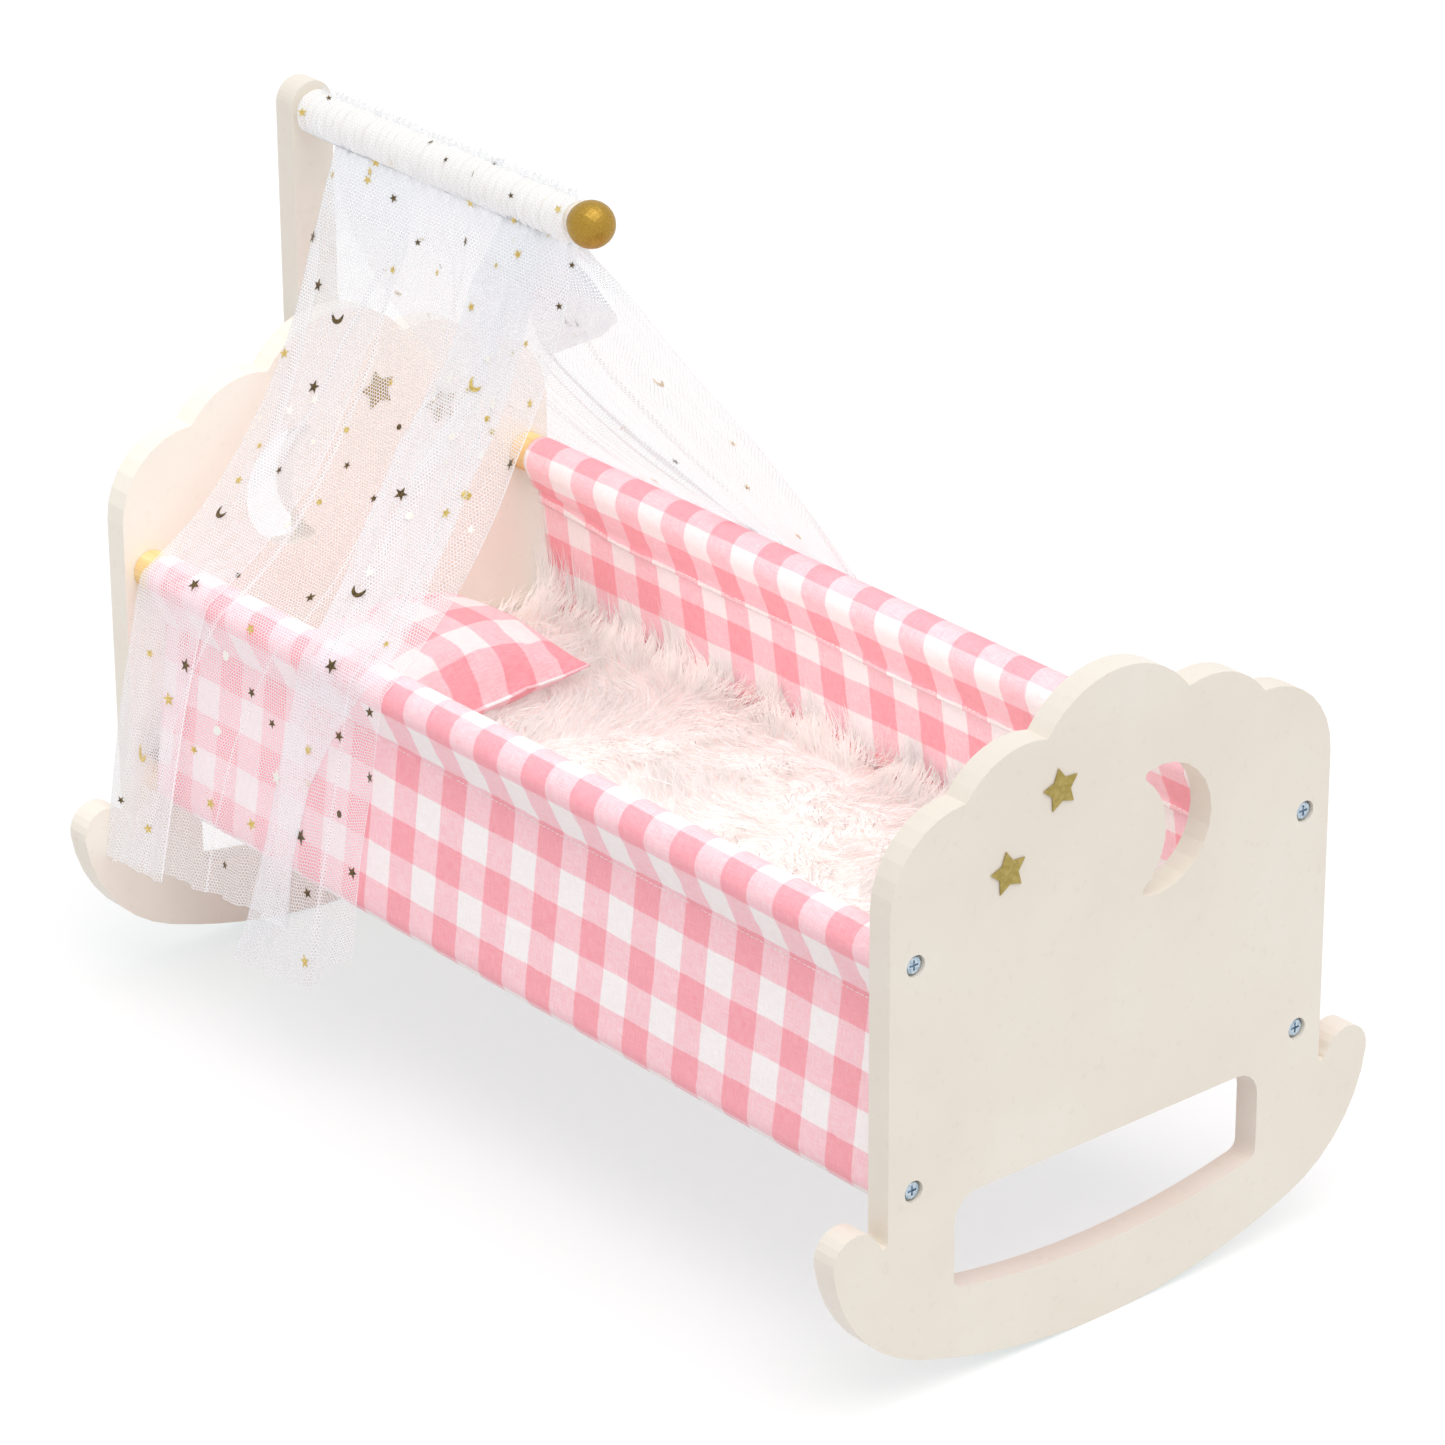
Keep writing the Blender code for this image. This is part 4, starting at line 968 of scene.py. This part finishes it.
def makeHair(index, material):
    s = furSet
    dice = np.random.default_rng(40 + index)
    root, lean, reach, rise, upright = combHairs(dice)
    line = hairLines(root, lean, reach, rise)
    keep = holdIn(line)
    count = len(line)
    # hairs that stand up by the walls and in the head corner get a painted pink reflection of the sling
    tintWithWallReflection = dice.uniform(0, 1, count) + upright * dice.uniform(0.1, 1, count)
    line, lean, tintWithWallReflection, upright = line[keep], lean[keep], tintWithWallReflection[keep], upright[keep]
    count = len(line)
    # ribbons, three spans each, their broad side turned up
    twist = dice.uniform(-0.9, 0.9, count) * (1 - 0.8 * upright)
    across = np.stack([lean[:, 1] * np.cos(twist), -lean[:, 0] * np.cos(twist), np.sin(twist)], 1)
    face = np.cross(across, line[:, 2] - line[:, 0])
    across[face @ np.array(s["lit"]) < 0] *= -1
    face = np.cross(across, line[:, 2] - line[:, 0])
    back = face[:, 1] > 0.25 * np.linalg.norm(face, axis=1)
    across[back & (upright > 0.3)] = (1, 0, 0)
    wide = s["width"] * dice.uniform(0.7, 1.2, count)
    vertices = np.zeros((count, 7, 3))
    for i, taper in enumerate(s["tapers"]):
        part = across * (wide * taper / 2)[:, None]
        vertices[:, 2 * i] = line[:, i] - part
        vertices[:, 2 * i + 1] = line[:, i] + part
    vertices[:, 6] = line[:, 3]
    base = np.arange(count)[:, None] * 7
    quads = np.concatenate([base + [0, 1, 3, 2], base + [2, 3, 5, 4]]).reshape(-1, 4)
    tips = (base + [4, 5, 6]).reshape(-1, 3)
    mesh = bpy.data.meshes.new("furPile%d" % index)
    mesh.from_pydata(vertices.reshape(-1, 3), [], quads.tolist() + tips.tolist())
    tint = mesh.attributes.new("hairTint", "FLOAT", "POINT")
    tint.data.foreach_set("value", np.repeat(tintWithWallReflection, 7).astype(np.float32))
    along = mesh.attributes.new("hairReach", "FLOAT", "POINT")
    levels = np.repeat(s["shares"], 2)[:7].astype(np.float32)
    along.data.foreach_set("value", np.tile(levels, count))
    mesh.materials.append(material)
    # hairs shade as one soft mass: their normals lean out and up
    up = np.zeros((count, 7, 3))
    up[:, :, :2] = lean[:, None, :] * (0.45 - 1.0 * upright)[:, None, None]
    up[:, :, 2] = 1
    up += dice.normal(0, 0.15, (count, 1, 3))
    up /= np.linalg.norm(up, axis=2)[:, :, None]
    mesh.polygons.foreach_set("use_smooth", [True] * len(mesh.polygons))
    mesh.normals_split_custom_set_from_vertices(up.reshape(-1, 3).tolist())
    hair = bpy.data.objects.new(mesh.name, mesh)
    bpy.context.scene.collection.objects.link(hair)
    settle(hair, "white_fur")
    return hair


backing = makeBacking()
fur = whiteFur()
piles = [makeHair(i, fur) for i in range(3)]
print("fur laid")


# Canopy net: one gathered cloth from the near hem, over the rod, to the far hem

netSet = {
    "flatWidth": 0.344,
    "pitch": 0.00165,          # of the mesh's holes
    "hole": 0.00067,
    "columns": 288,
    "runRows": 56,
    "railRows": 8,
    "fallRows": 38,
    "sleeveRows": 22,
    "rodZ": 0.3855,
    "sleeveDrop": 0.0006,
    "sleeveRadius": 0.0091,
    "sleeveEnds": (-0.2545, -0.0680),
    "lumps": 0.0007,
    "flatten": 0.75,               # of the sleeve and how far it drops, where it is pinched
    "pinchDrop": 0.0022,
    "pinch": (0.0008, 0.3727),
    "railRadius": 0.0110,
    "sag": 0.023,
    "layerGap": 0.0016,
    "clear": 0.0006,               # between the cloth and what it lies on
    "soften": 2.2,                 # of its folds, in columns
    "gathers": 36,
    "gatherDepth": 0.0015,
    "waves": (0.3, 0.26, 0.09),    # how far along the cloth gathers, wide and narrow folds vary
    "broad": (0.0022, 0.0028),     # wide folds, above the rail and at the hem
    "fine": (0.0012, 0.0016),      # narrow ones
    "flare": 0.0145,
    "headFlare": 0.006,
    "ruffle": 0.0040,
    "frills": 44,
    "frillGrid": (420, 5),
}

# where the cloth's edges and folds lie, along the cot in mm, for each stage of the way
# down: 0 at the rod, 1 at the rail, 1.1 below it and 1.7 at the hem. They stand in the
# order in which they cross the flat cloth, at the shares given below them, and the hems
# say how high the hem is above the floor, in mm
nearLines = {
    "foldHead": [(0, -180), (0.14, -176), (0.38, -186), (0.68, -179), (0.85, -180), (1, -183),
                 (1.3, -190), (1.7, -196)],
    "head": [(0, -240), (0.1, -244), (0.22, -246), (0.38, -242), (0.5, -240), (0.7, -237.5),
             (0.85, -235.5), (1, -236), (1.1, -238), (1.38, -245), (1.7, -248)],
    "foldFoot": [(0, -90), (0.18, -89), (0.39, -87), (0.53, -88), (0.7, -81), (0.87, -70), (1, -66),
                 (1.1, -72), (1.2, -85), (1.35, -100), (1.54, -108), (1.7, -108)],
    "foldFront": [(0, -120), (0.15, -133), (0.28, -134), (0.53, -144), (0.7, -138), (0.78, -132),
                  (0.93, -121), (1, -117), (1.14, -119), (1.3, -126), (1.44, -131), (1.61, -141),
                  (1.7, -150)],
    "foot": [(0, -67.5), (0.34, -70), (0.45, -70), (0.77, -61), (1, -57.5), (1.29, -59.5),
             (1.46, -63), (1.7, -64)],
}
nearShares = (0, 0.166, 0.616, 0.779, 1)
nearHem = [(0, 70), (0.08, 69), (0.166, 64), (0.246, 68), (0.333, 72), (0.484, 76), (0.532, 79), (0.616, 79),
           (0.70, 62), (0.779, 49), (0.86, 51), (0.93, 57), (0.955, 70), (1, 81)]
farLines = {
    "head": [(0, -240), (0.1, -244), (0.22, -246), (0.38, -242), (0.5, -240), (1, -234), (1.7, -240)],
    "fold": [(0, -90), (0.10, -66), (0.17, -56), (0.25, -77), (0.32, -102), (0.44, -143), (0.5, -141),
             (0.72, -120), (0.85, -103), (1.01, -89), (1.3, -80), (1.7, -75)],
    "over": [(0, 4), (0.10, 60), (0.17, 84), (0.25, 66), (0.32, 44), (0.44, 10), (0.5, 9),
             (1.01, 9), (1.7, 14)],
    "foot": [(0, -67.5), (0.17, -54), (0.4, -43), (0.57, -31), (0.76, -26), (1.05, -24), (1.7, -22)],
}
farShares = (0, 0.50, 0.72, 1)
farHem = [(0, 66), (0.3, 72), (0.6, 68), (1, 72)]


def onLine(line, stage):
    # in metres, between the points of a line in mm
    return np.interp(stage, [p[0] for p in line], [p[1] for p in line]) / 1000


def softened(values, width):
    # each row smoothed along the cloth, its two ends kept
    size = int(3 * width)
    kernel = np.exp(-0.5 * (np.arange(-size, size + 1) / width) ** 2)
    kernel /= kernel.sum()
    before, after = 2 * values[0] - values[size:0:-1], 2 * values[-1] - values[-2:-size - 2:-1]
    return np.convolve(np.concatenate([before, values, after]), kernel, "valid")


def netStages():
    # (stage, kind) from rod to hem
    s = netSet
    run = [(i / s["runRows"], "run") for i in range(s["runRows"] + 1)]
    rail = [(1 + 0.1 * i / s["railRows"], "rail") for i in range(1, s["railRows"] + 1)]
    fall = [(1.1 + 0.6 * i / s["fallRows"], "fall") for i in range(1, s["fallRows"] + 1)]
    return run + rail + fall


def gathering(share, seed):
    # the gathers' wave along the cloth
    s = netSet
    return np.sin(2 * math.pi * s["gathers"] * share + 1.5 * ripple(share, seed, s["waves"][0]))


def netSide(near):
    # one side of the canopy, in rows from the rod to the hem, each with its points and
    # how much cloth lies above it
    s = netSet
    side = -1 if near else 1
    share = np.linspace(0, 1, s["columns"])
    railY, railZ, r = slingSet["railY"], slingSet["upperRail"], s["railRadius"]
    pinch = s["pinch"]
    reach = math.hypot(railY - pinch[0], railZ - pinch[1])
    turn = math.atan2(railZ - pinch[1], railY - pinch[0]) + math.pi / 2 + math.asin(r / reach)
    contact = (railY + r * math.cos(turn), railZ + r * math.sin(turn))
    rows = []
    clothRun = 0
    last = None
    seed = 100 if near else 200
    hem = onLine(nearHem if near else farHem, share)
    # 1 where the cloth lies on another layer of itself
    overlap = ((0.08, 0.20, 0.616, 0.779), (1, 0, 0, 1)) if near else ((0.50, 0.72), (0, 1))
    layer = softened(np.interp(share, *overlap), s["soften"])
    for stage, kind in netStages():
        knots = [onLine(line, stage) for line in (nearLines if near else farLines).values()]
        if not near:
            knots[2] = knots[1] - knots[2]      # goes back from the fold by so much
        x = softened(np.interp(share, nearShares if near else farShares, knots), s["soften"])
        gather = gathering(share, seed)
        broad = ripple(share + 0.03 * stage, seed + 1, s["waves"][1], 4)
        fine = ripple(share - 0.02 * stage, seed + 2, s["waves"][2], 4)
        if kind == "run":
            up = contact[1] + (pinch[1] - contact[1]) * (1 - stage)
            out = contact[0] + (pinch[0] - contact[0]) * (1 - stage)
            sag = 4 * s["sag"] * stage * (1 - stage)
            if not near:
                sag = sag * (1 - share) ** 0.8
            normal = (math.cos(turn), math.sin(turn))
            close = math.exp(-stage / 0.10)
            taut = ease(1 - stage, 0.0, 0.25)
            offset = s["gatherDepth"] * 1.2 * close * gather
            offset = offset + s["broad"][0] * taut * broad * ease(stage, 0, 0.3)
            offset = offset + s["fine"][0] * fine * taut
            offset = offset + s["layerGap"] * layer * ease(stage, 0.0, 0.1) - sag
        elif kind == "rail":
            angle = turn * (1 - (stage - 1) / 0.1)
            out = railY + r * math.cos(angle)
            up = railZ + r * math.sin(angle)
            normal = (math.cos(angle), math.sin(angle))
            offset = s["layerGap"] * 0.6 * layer + s["clear"] * (1 + fine)
        else:
            down = (stage - 1.1) / 0.6
            up = railZ + (hem - railZ) * down
            flare = s["flare"] + s["headFlare"] * (1 - share)
            out = railY + r + flare * down ** 0.9
            normal = (1, 0)
            offset = s["layerGap"] * (0.6 + 0.6 * down) * layer + s["clear"] * (1 + fine)
            offset = offset + down * (s["broad"][1] * broad + s["fine"][1] * fine + 0.0012)
        points = np.stack([x, side * (out + offset * normal[0]), up + offset * normal[1]], 1)
        if last is not None:
            clothRun += float(np.median(np.linalg.norm((points - last)[:, 1:], axis=1)))
        last = points
        rows.append((points, clothRun))
    return rows


def makeNet():
    s = netSet
    share = np.linspace(0, 1, s["columns"])
    near, far = netSide(True), netSide(False)
    rows = [(points, -run) for points, run in reversed(near)]
    # the sleeve, round the rod from the near pinch to the far one
    middle = s["rodZ"] - s["sleeveDrop"]
    foldIn = gathering(share, 100)
    lumps = ripple(share, 301, 0.11, 4)
    ends = s["sleeveEnds"]
    run = 0
    for i in range(1, s["sleeveRows"]):
        part = i / s["sleeveRows"]
        angle = math.pi * (1.5 - 2 * part)
        inward = 1 - abs(2 * part - 1)
        x = ends[0] + (ends[1] - ends[0]) * share + 0.0006 * ripple(share, 302, 0.05)
        edge = near[0][0][:, 0] * (1 - part) + far[0][0][:, 0] * part
        x = edge + (x - edge) * ease(inward, 0, 0.25)
        depth = s["gatherDepth"] * foldIn * math.sin(3 * part + 1.2) ** 2
        radius = s["sleeveRadius"] + depth + s["lumps"] * lumps
        radius = radius + 0.0004 * ripple(share + part, 303, 0.04)
        low = 1 - ease(inward, 0, 0.22)
        y = radius * math.cos(angle) * (1 - s["flatten"] * low)
        z = middle + radius * math.sin(angle) - s["pinchDrop"] * low
        run += 2 * math.pi * s["sleeveRadius"] / s["sleeveRows"]
        rows.append((np.stack([x, y, z], 1), run))
    rows += [(points, run + more) for points, more in far]
    points = np.stack([points for points, _ in rows])
    cloth = np.stack(np.meshgrid(share * s["flatWidth"], [down for _, down in rows]), 2)
    # the first, blue-grey tint is painted shade in the holes and at the threads' edges
    tulleWhite = tulle("whiteTulle", s["pitch"], s["hole"], ("DCE3EA", "FAFBFD"), s["flatWidth"],
                       (-0.002, 2 * math.pi * s["sleeveRadius"] + 0.002))
    net = gridSheet("canopyTulle", points, cloth, tulleWhite)
    settle(net, "white_net", "canopy_net")
    ruffle = makeRuffle(tulleWhite)
    length = float(cloth[:, 0, 1].max() - cloth[:, 0, 1].min())
    return net, ruffle, length, points, cloth


def makeRuffle(material):
    # the frill that stands along the top of the sleeve
    s = netSet
    share = np.linspace(0, 1, s["frillGrid"][0])
    part = np.linspace(0, 1, s["frillGrid"][1])[:, None]
    ends = s["sleeveEnds"]
    top = s["rodZ"] - s["sleeveDrop"] + s["sleeveRadius"] - 0.0004
    turns = 2 * math.pi * s["frills"] * share
    wave = np.sin(turns + 2.2 * ripple(share, 401, 0.2))
    tall = s["ruffle"] * (0.72 + 0.28 * ripple(share, 402, 0.07))
    along = ends[0] + 0.004 + (ends[1] - ends[0] - 0.006) * share
    out = 0.0012 + wave * (0.0004 + 0.0014 * part) + 0.0010 * part
    points = np.stack([along + 0.0008 * part * np.cos(turns), out, top + tall * part], 2)
    cloth = np.stack(np.meshgrid((0.01 + 0.98 * share) * s["flatWidth"], 0.4 + s["ruffle"] * part[:, 0]), 2)
    frill = gridSheet("tulleRuffle", points, cloth, material)
    settle(frill, "white_net")
    return frill


net, ruffle, netLength, netPoints, netCloth = makeNet()
print("net gathered,", round(netLength * 1000), "mm from hem to hem")


# Sequins: foil stars, moons and dots on the net. Their places are (across, down, size)
# on the flat cloth in mm, down from the near pinch at the rod, less than 0 on the near side

sequinSet = {
    "thickness": 0.00018,
    "waist": 0.40,            # inner to outer radius of a star
    "moon": (0.22, 0.16, 0.45),    # where it is turned down, how deep its hollow is, half its width
    "lift": 0.0005,
    "larger": 1.28,
    "extras": 46,
    "extraSizes": (0.0026, 0.0046),
    "strips": ((0.205, 0.262), (0.008, 0.290)),    # theirs across the cloth, near side and far
    "clearOf": (0.012, 0.03), # how far they stay from the hems and, at the far side, the rod
    "seed": 61,
}
# all are gold foil: tone dark is its painted dark reflection and tone pale its painted white glint
sequinPlaces = {
    ("dark", "star"): [(12, -12, 3.3), (54, -43, 4.6), (129, -26, 2.7), (160, -17, 3.4), (43, -62, 5.0),
        (340, -27, 3.0), (341, -8, 2.6), (25, -104, 5.2), (93, -144, 3.2), (130, -129, 3.2),
        (155, -137, 3.3), (286, -130, 5.3), (149, -189, 4.2), (18, -208, 5.2), (296, -212, 5.8),
        (6, -244, 5.4), (150, -243, 4), (171, -252, 3.6), (313, -238, 4.2), (335, -223, 4),
        (342, -254, 4.2), (338, -303, 4.6), (295, -285, 6.4), (306, -308, 4.2), (159, -331, 3.4),
        (193, 21, 2.3), (227, 20, 2.3), (280, 18, 2.3), (24, 27, 2.3), (162, 26, 2.3), (39, -318, 3.2),
        (341, -98, 4.4)],
    ("dark", "dot"): [(152, -104, 2.1), (106, -195, 2.1), (322, -271, 2.6)],
    ("dark", "moon"): [(26, -71, 5.6), (37, -172, 5.6), (286, -176, 5.6)],
    ("gold", "moon"): [(297, -73, 5.6), (28, -293, 7), (307, 151, 5.6)],
    ("pale", "star"): [(158, -56, 3.8), (287, -167, 4.6), (303, -109, 3.2), (114, -164, 5.2),
        (186, -278, 6.5), (332, -131, 3.8), (49, -127, 3.2), (9, -126, 3.2), (32, -118, 4.6),
        (298, -61, 3.8), (282, -76, 5.2), (316, -78, 5.2), (94, -109, 4.6)],
    ("pale", "dot"): [(137, -268, 3.5), (126, -232, 3.5), (294, -137, 2.8), (298, -98, 2.8)],
    ("gold", "star"): [(135, -88, 2.8), (316, -129, 4.2), (134, -214, 4.5), (122, -283, 3.5),
        (200, -256, 4), (143, -304, 4.5), (176, -306, 4.5), (15, -326, 4), (35, -247, 3.5),
        (196, -13, 3.6), (4, -42, 3.2), (146, -35, 2.8), (91, 0, 3.6), (29, -9, 3.6), (326, 180, 3.2),
        (303, 218, 3.2), (310, 249, 3.6), (5, 16, 3.6), (120, 8, 3.6), (53, -13, 2.8), (89, -5, 3.6),
        (185, 4, 4.2), (215, 3, 3.2), (317, 1, 3.2), (337, 20, 3.2), (52, -96, 4.2), (338, -71, 3.6),
        (323, -48, 2.8), (40, -156, 3.6), (40, -138, 2.8), (260, -43, 3.6), (14, -263, 5.2),
        (314, -337, 5.2), (322, -192, 3.2)],
    ("gold", "dot"): [(123, -149, 2.1), (120, -115, 2.1), (325, -118, 2.1)],
}


def sequinShape(shape):
    # a flat shape 1 m across, its top along +Y
    clearSelection()
    corners = {"star": 10, "moon": 22, "dot": 14}[shape]
    bpy.ops.mesh.primitive_circle_add(vertices=corners, radius=0.5, fill_type="NOTHING")
    outline = bpy.context.object
    fold, hollow, half = sequinSet["moon"]
    for i, point in enumerate(outline.data.vertices):
        turn = 2 * math.pi * i / corners
        away = 0.5
        if shape == "star" and i % 2:
            away *= sequinSet["waist"]
        across, up = away * math.sin(turn), away * math.cos(turn)
        if shape == "moon" and up > fold:
            # the upper part is turned down into the hollow of the moon
            up = 2 * fold - up - hollow * (1 - (across / half) ** 2)
        point.co = (across, up, 0)
    bpy.ops.object.mode_set(mode="EDIT")
    bpy.ops.mesh.select_all(action="SELECT")
    bpy.ops.mesh.edge_face_add()
    bpy.ops.mesh.quads_convert_to_tris()
    bpy.ops.object.mode_set(mode="OBJECT")
    return outline


def onNet(across, down):
    # a place on the hung net and the two ways along the cloth there
    rows, columns = netPoints.shape[:2]
    column = np.clip(across / netSet["flatWidth"] * (columns - 1), 1, columns - 2.01)
    row = np.clip(np.interp(down, netCloth[:, 0, 1], np.arange(rows)), 1, rows - 2.01)
    i, j = int(row), int(column)
    a, b = row - i, column - j
    near = netPoints[i, j] * (1 - b) + netPoints[i, j + 1] * b
    far = netPoints[i + 1, j] * (1 - b) + netPoints[i + 1, j + 1] * b
    place = Vector(near * (1 - a) + far * a)
    along = Vector(netPoints[i, j + 1] - netPoints[i, j])
    return place, along, Vector(netPoints[i - 1, j] - netPoints[i + 1, j])


def makeSequins():
    s = sequinSet
    dice = np.random.default_rng(s["seed"])
    wanted = {}
    for key, spots in sequinPlaces.items():
        wanted[key] = [(u / 1000, v / 1000, size / 1000 * s["larger"]) for u, v, size in spots]
    hemGap, rodGap = s["clearOf"]
    sides = ((netCloth[0, 0, 1] + hemGap, 0), (rodGap, netCloth[-1, 0, 1] - hemGap))
    for i in range(s["extras"]):
        # more of the same where the photograph shows less of the cloth
        tone = ("dark", "gold", "gold", "pale")[dice.integers(4)]
        shape = ("star", "star", "star", "dot")[dice.integers(4)]
        isFar = i % 4 > 0
        down, across = dice.uniform(*sides[isFar]), dice.uniform(*s["strips"][isFar])
        wanted.setdefault((tone, shape), []).append((across, down, dice.uniform(*s["extraSizes"])))
    shapes = {shape: sequinShape(shape) for shape in ("star", "moon", "dot")}
    # dark and pale are the gold foil painted with its dark reflection and its white glint
    foils = {
        "dark": sequinFoil("darkSequin", "3D301C", "755F33", 0.45, 0.36),
        "gold": sequinFoil("goldSequin", "C6A548", "E9D48A", 0.60, 0.32),
        "pale": sequinFoil("paleSequin", "FFF8EA", "FFFFFF", 0.0, 0.22),
    }
    made = []
    for (tone, shape), spots in sorted(wanted.items()):
        places = []
        for across, down, size in spots:
            place, along, up = onNet(across, down)
            facing = along.cross(up).normalized()
            outward = Vector((0, place.y * 12, 1))
            if facing.dot(outward) < 0:
                facing = -facing
            up = (up - facing * up.dot(facing)).normalized()
            if up.z < 0:
                up = -up
            frameOf = Matrix((up.cross(facing), up, facing)).transposed().to_4x4()
            spin = dice.uniform(-0.35, 0.35) if shape == "moon" else dice.uniform(0, 6.28)
            lay = Matrix.Rotation(spin, 4, "Z") @ Matrix.Diagonal((size, size, 1, 1))
            places.append(Matrix.Translation(place + facing * s["lift"]) @ frameOf @ lay)
        piece = copiesOf(tone + shape.title() + "s", shapes[shape], places, foils[tone], "gold_foil")
        clearSelection()
        piece.select_set(True)
        bpy.context.view_layer.objects.active = piece
        applied(piece, "body", "SOLIDIFY", thickness=s["thickness"], offset=0)
        made.append(piece)
    for pattern in shapes.values():
        bpy.data.objects.remove(pattern)
    return made


sequins = makeSequins()
seenCount = sum(len(spots) for spots in sequinPlaces.values())
print("sequins placed,", seenCount, "seen and", sequinSet["extras"], "more")

# each soft box gets the pieces that it lights
for name, (*_, pieces) in lightSet["fills"].items():
    for piece in pieces:
        bpy.data.collections[name + "Lights"].objects.link(nodes.get(piece) or bpy.data.objects[piece])

bpy.context.scene.view_settings.view_transform = "Standard"
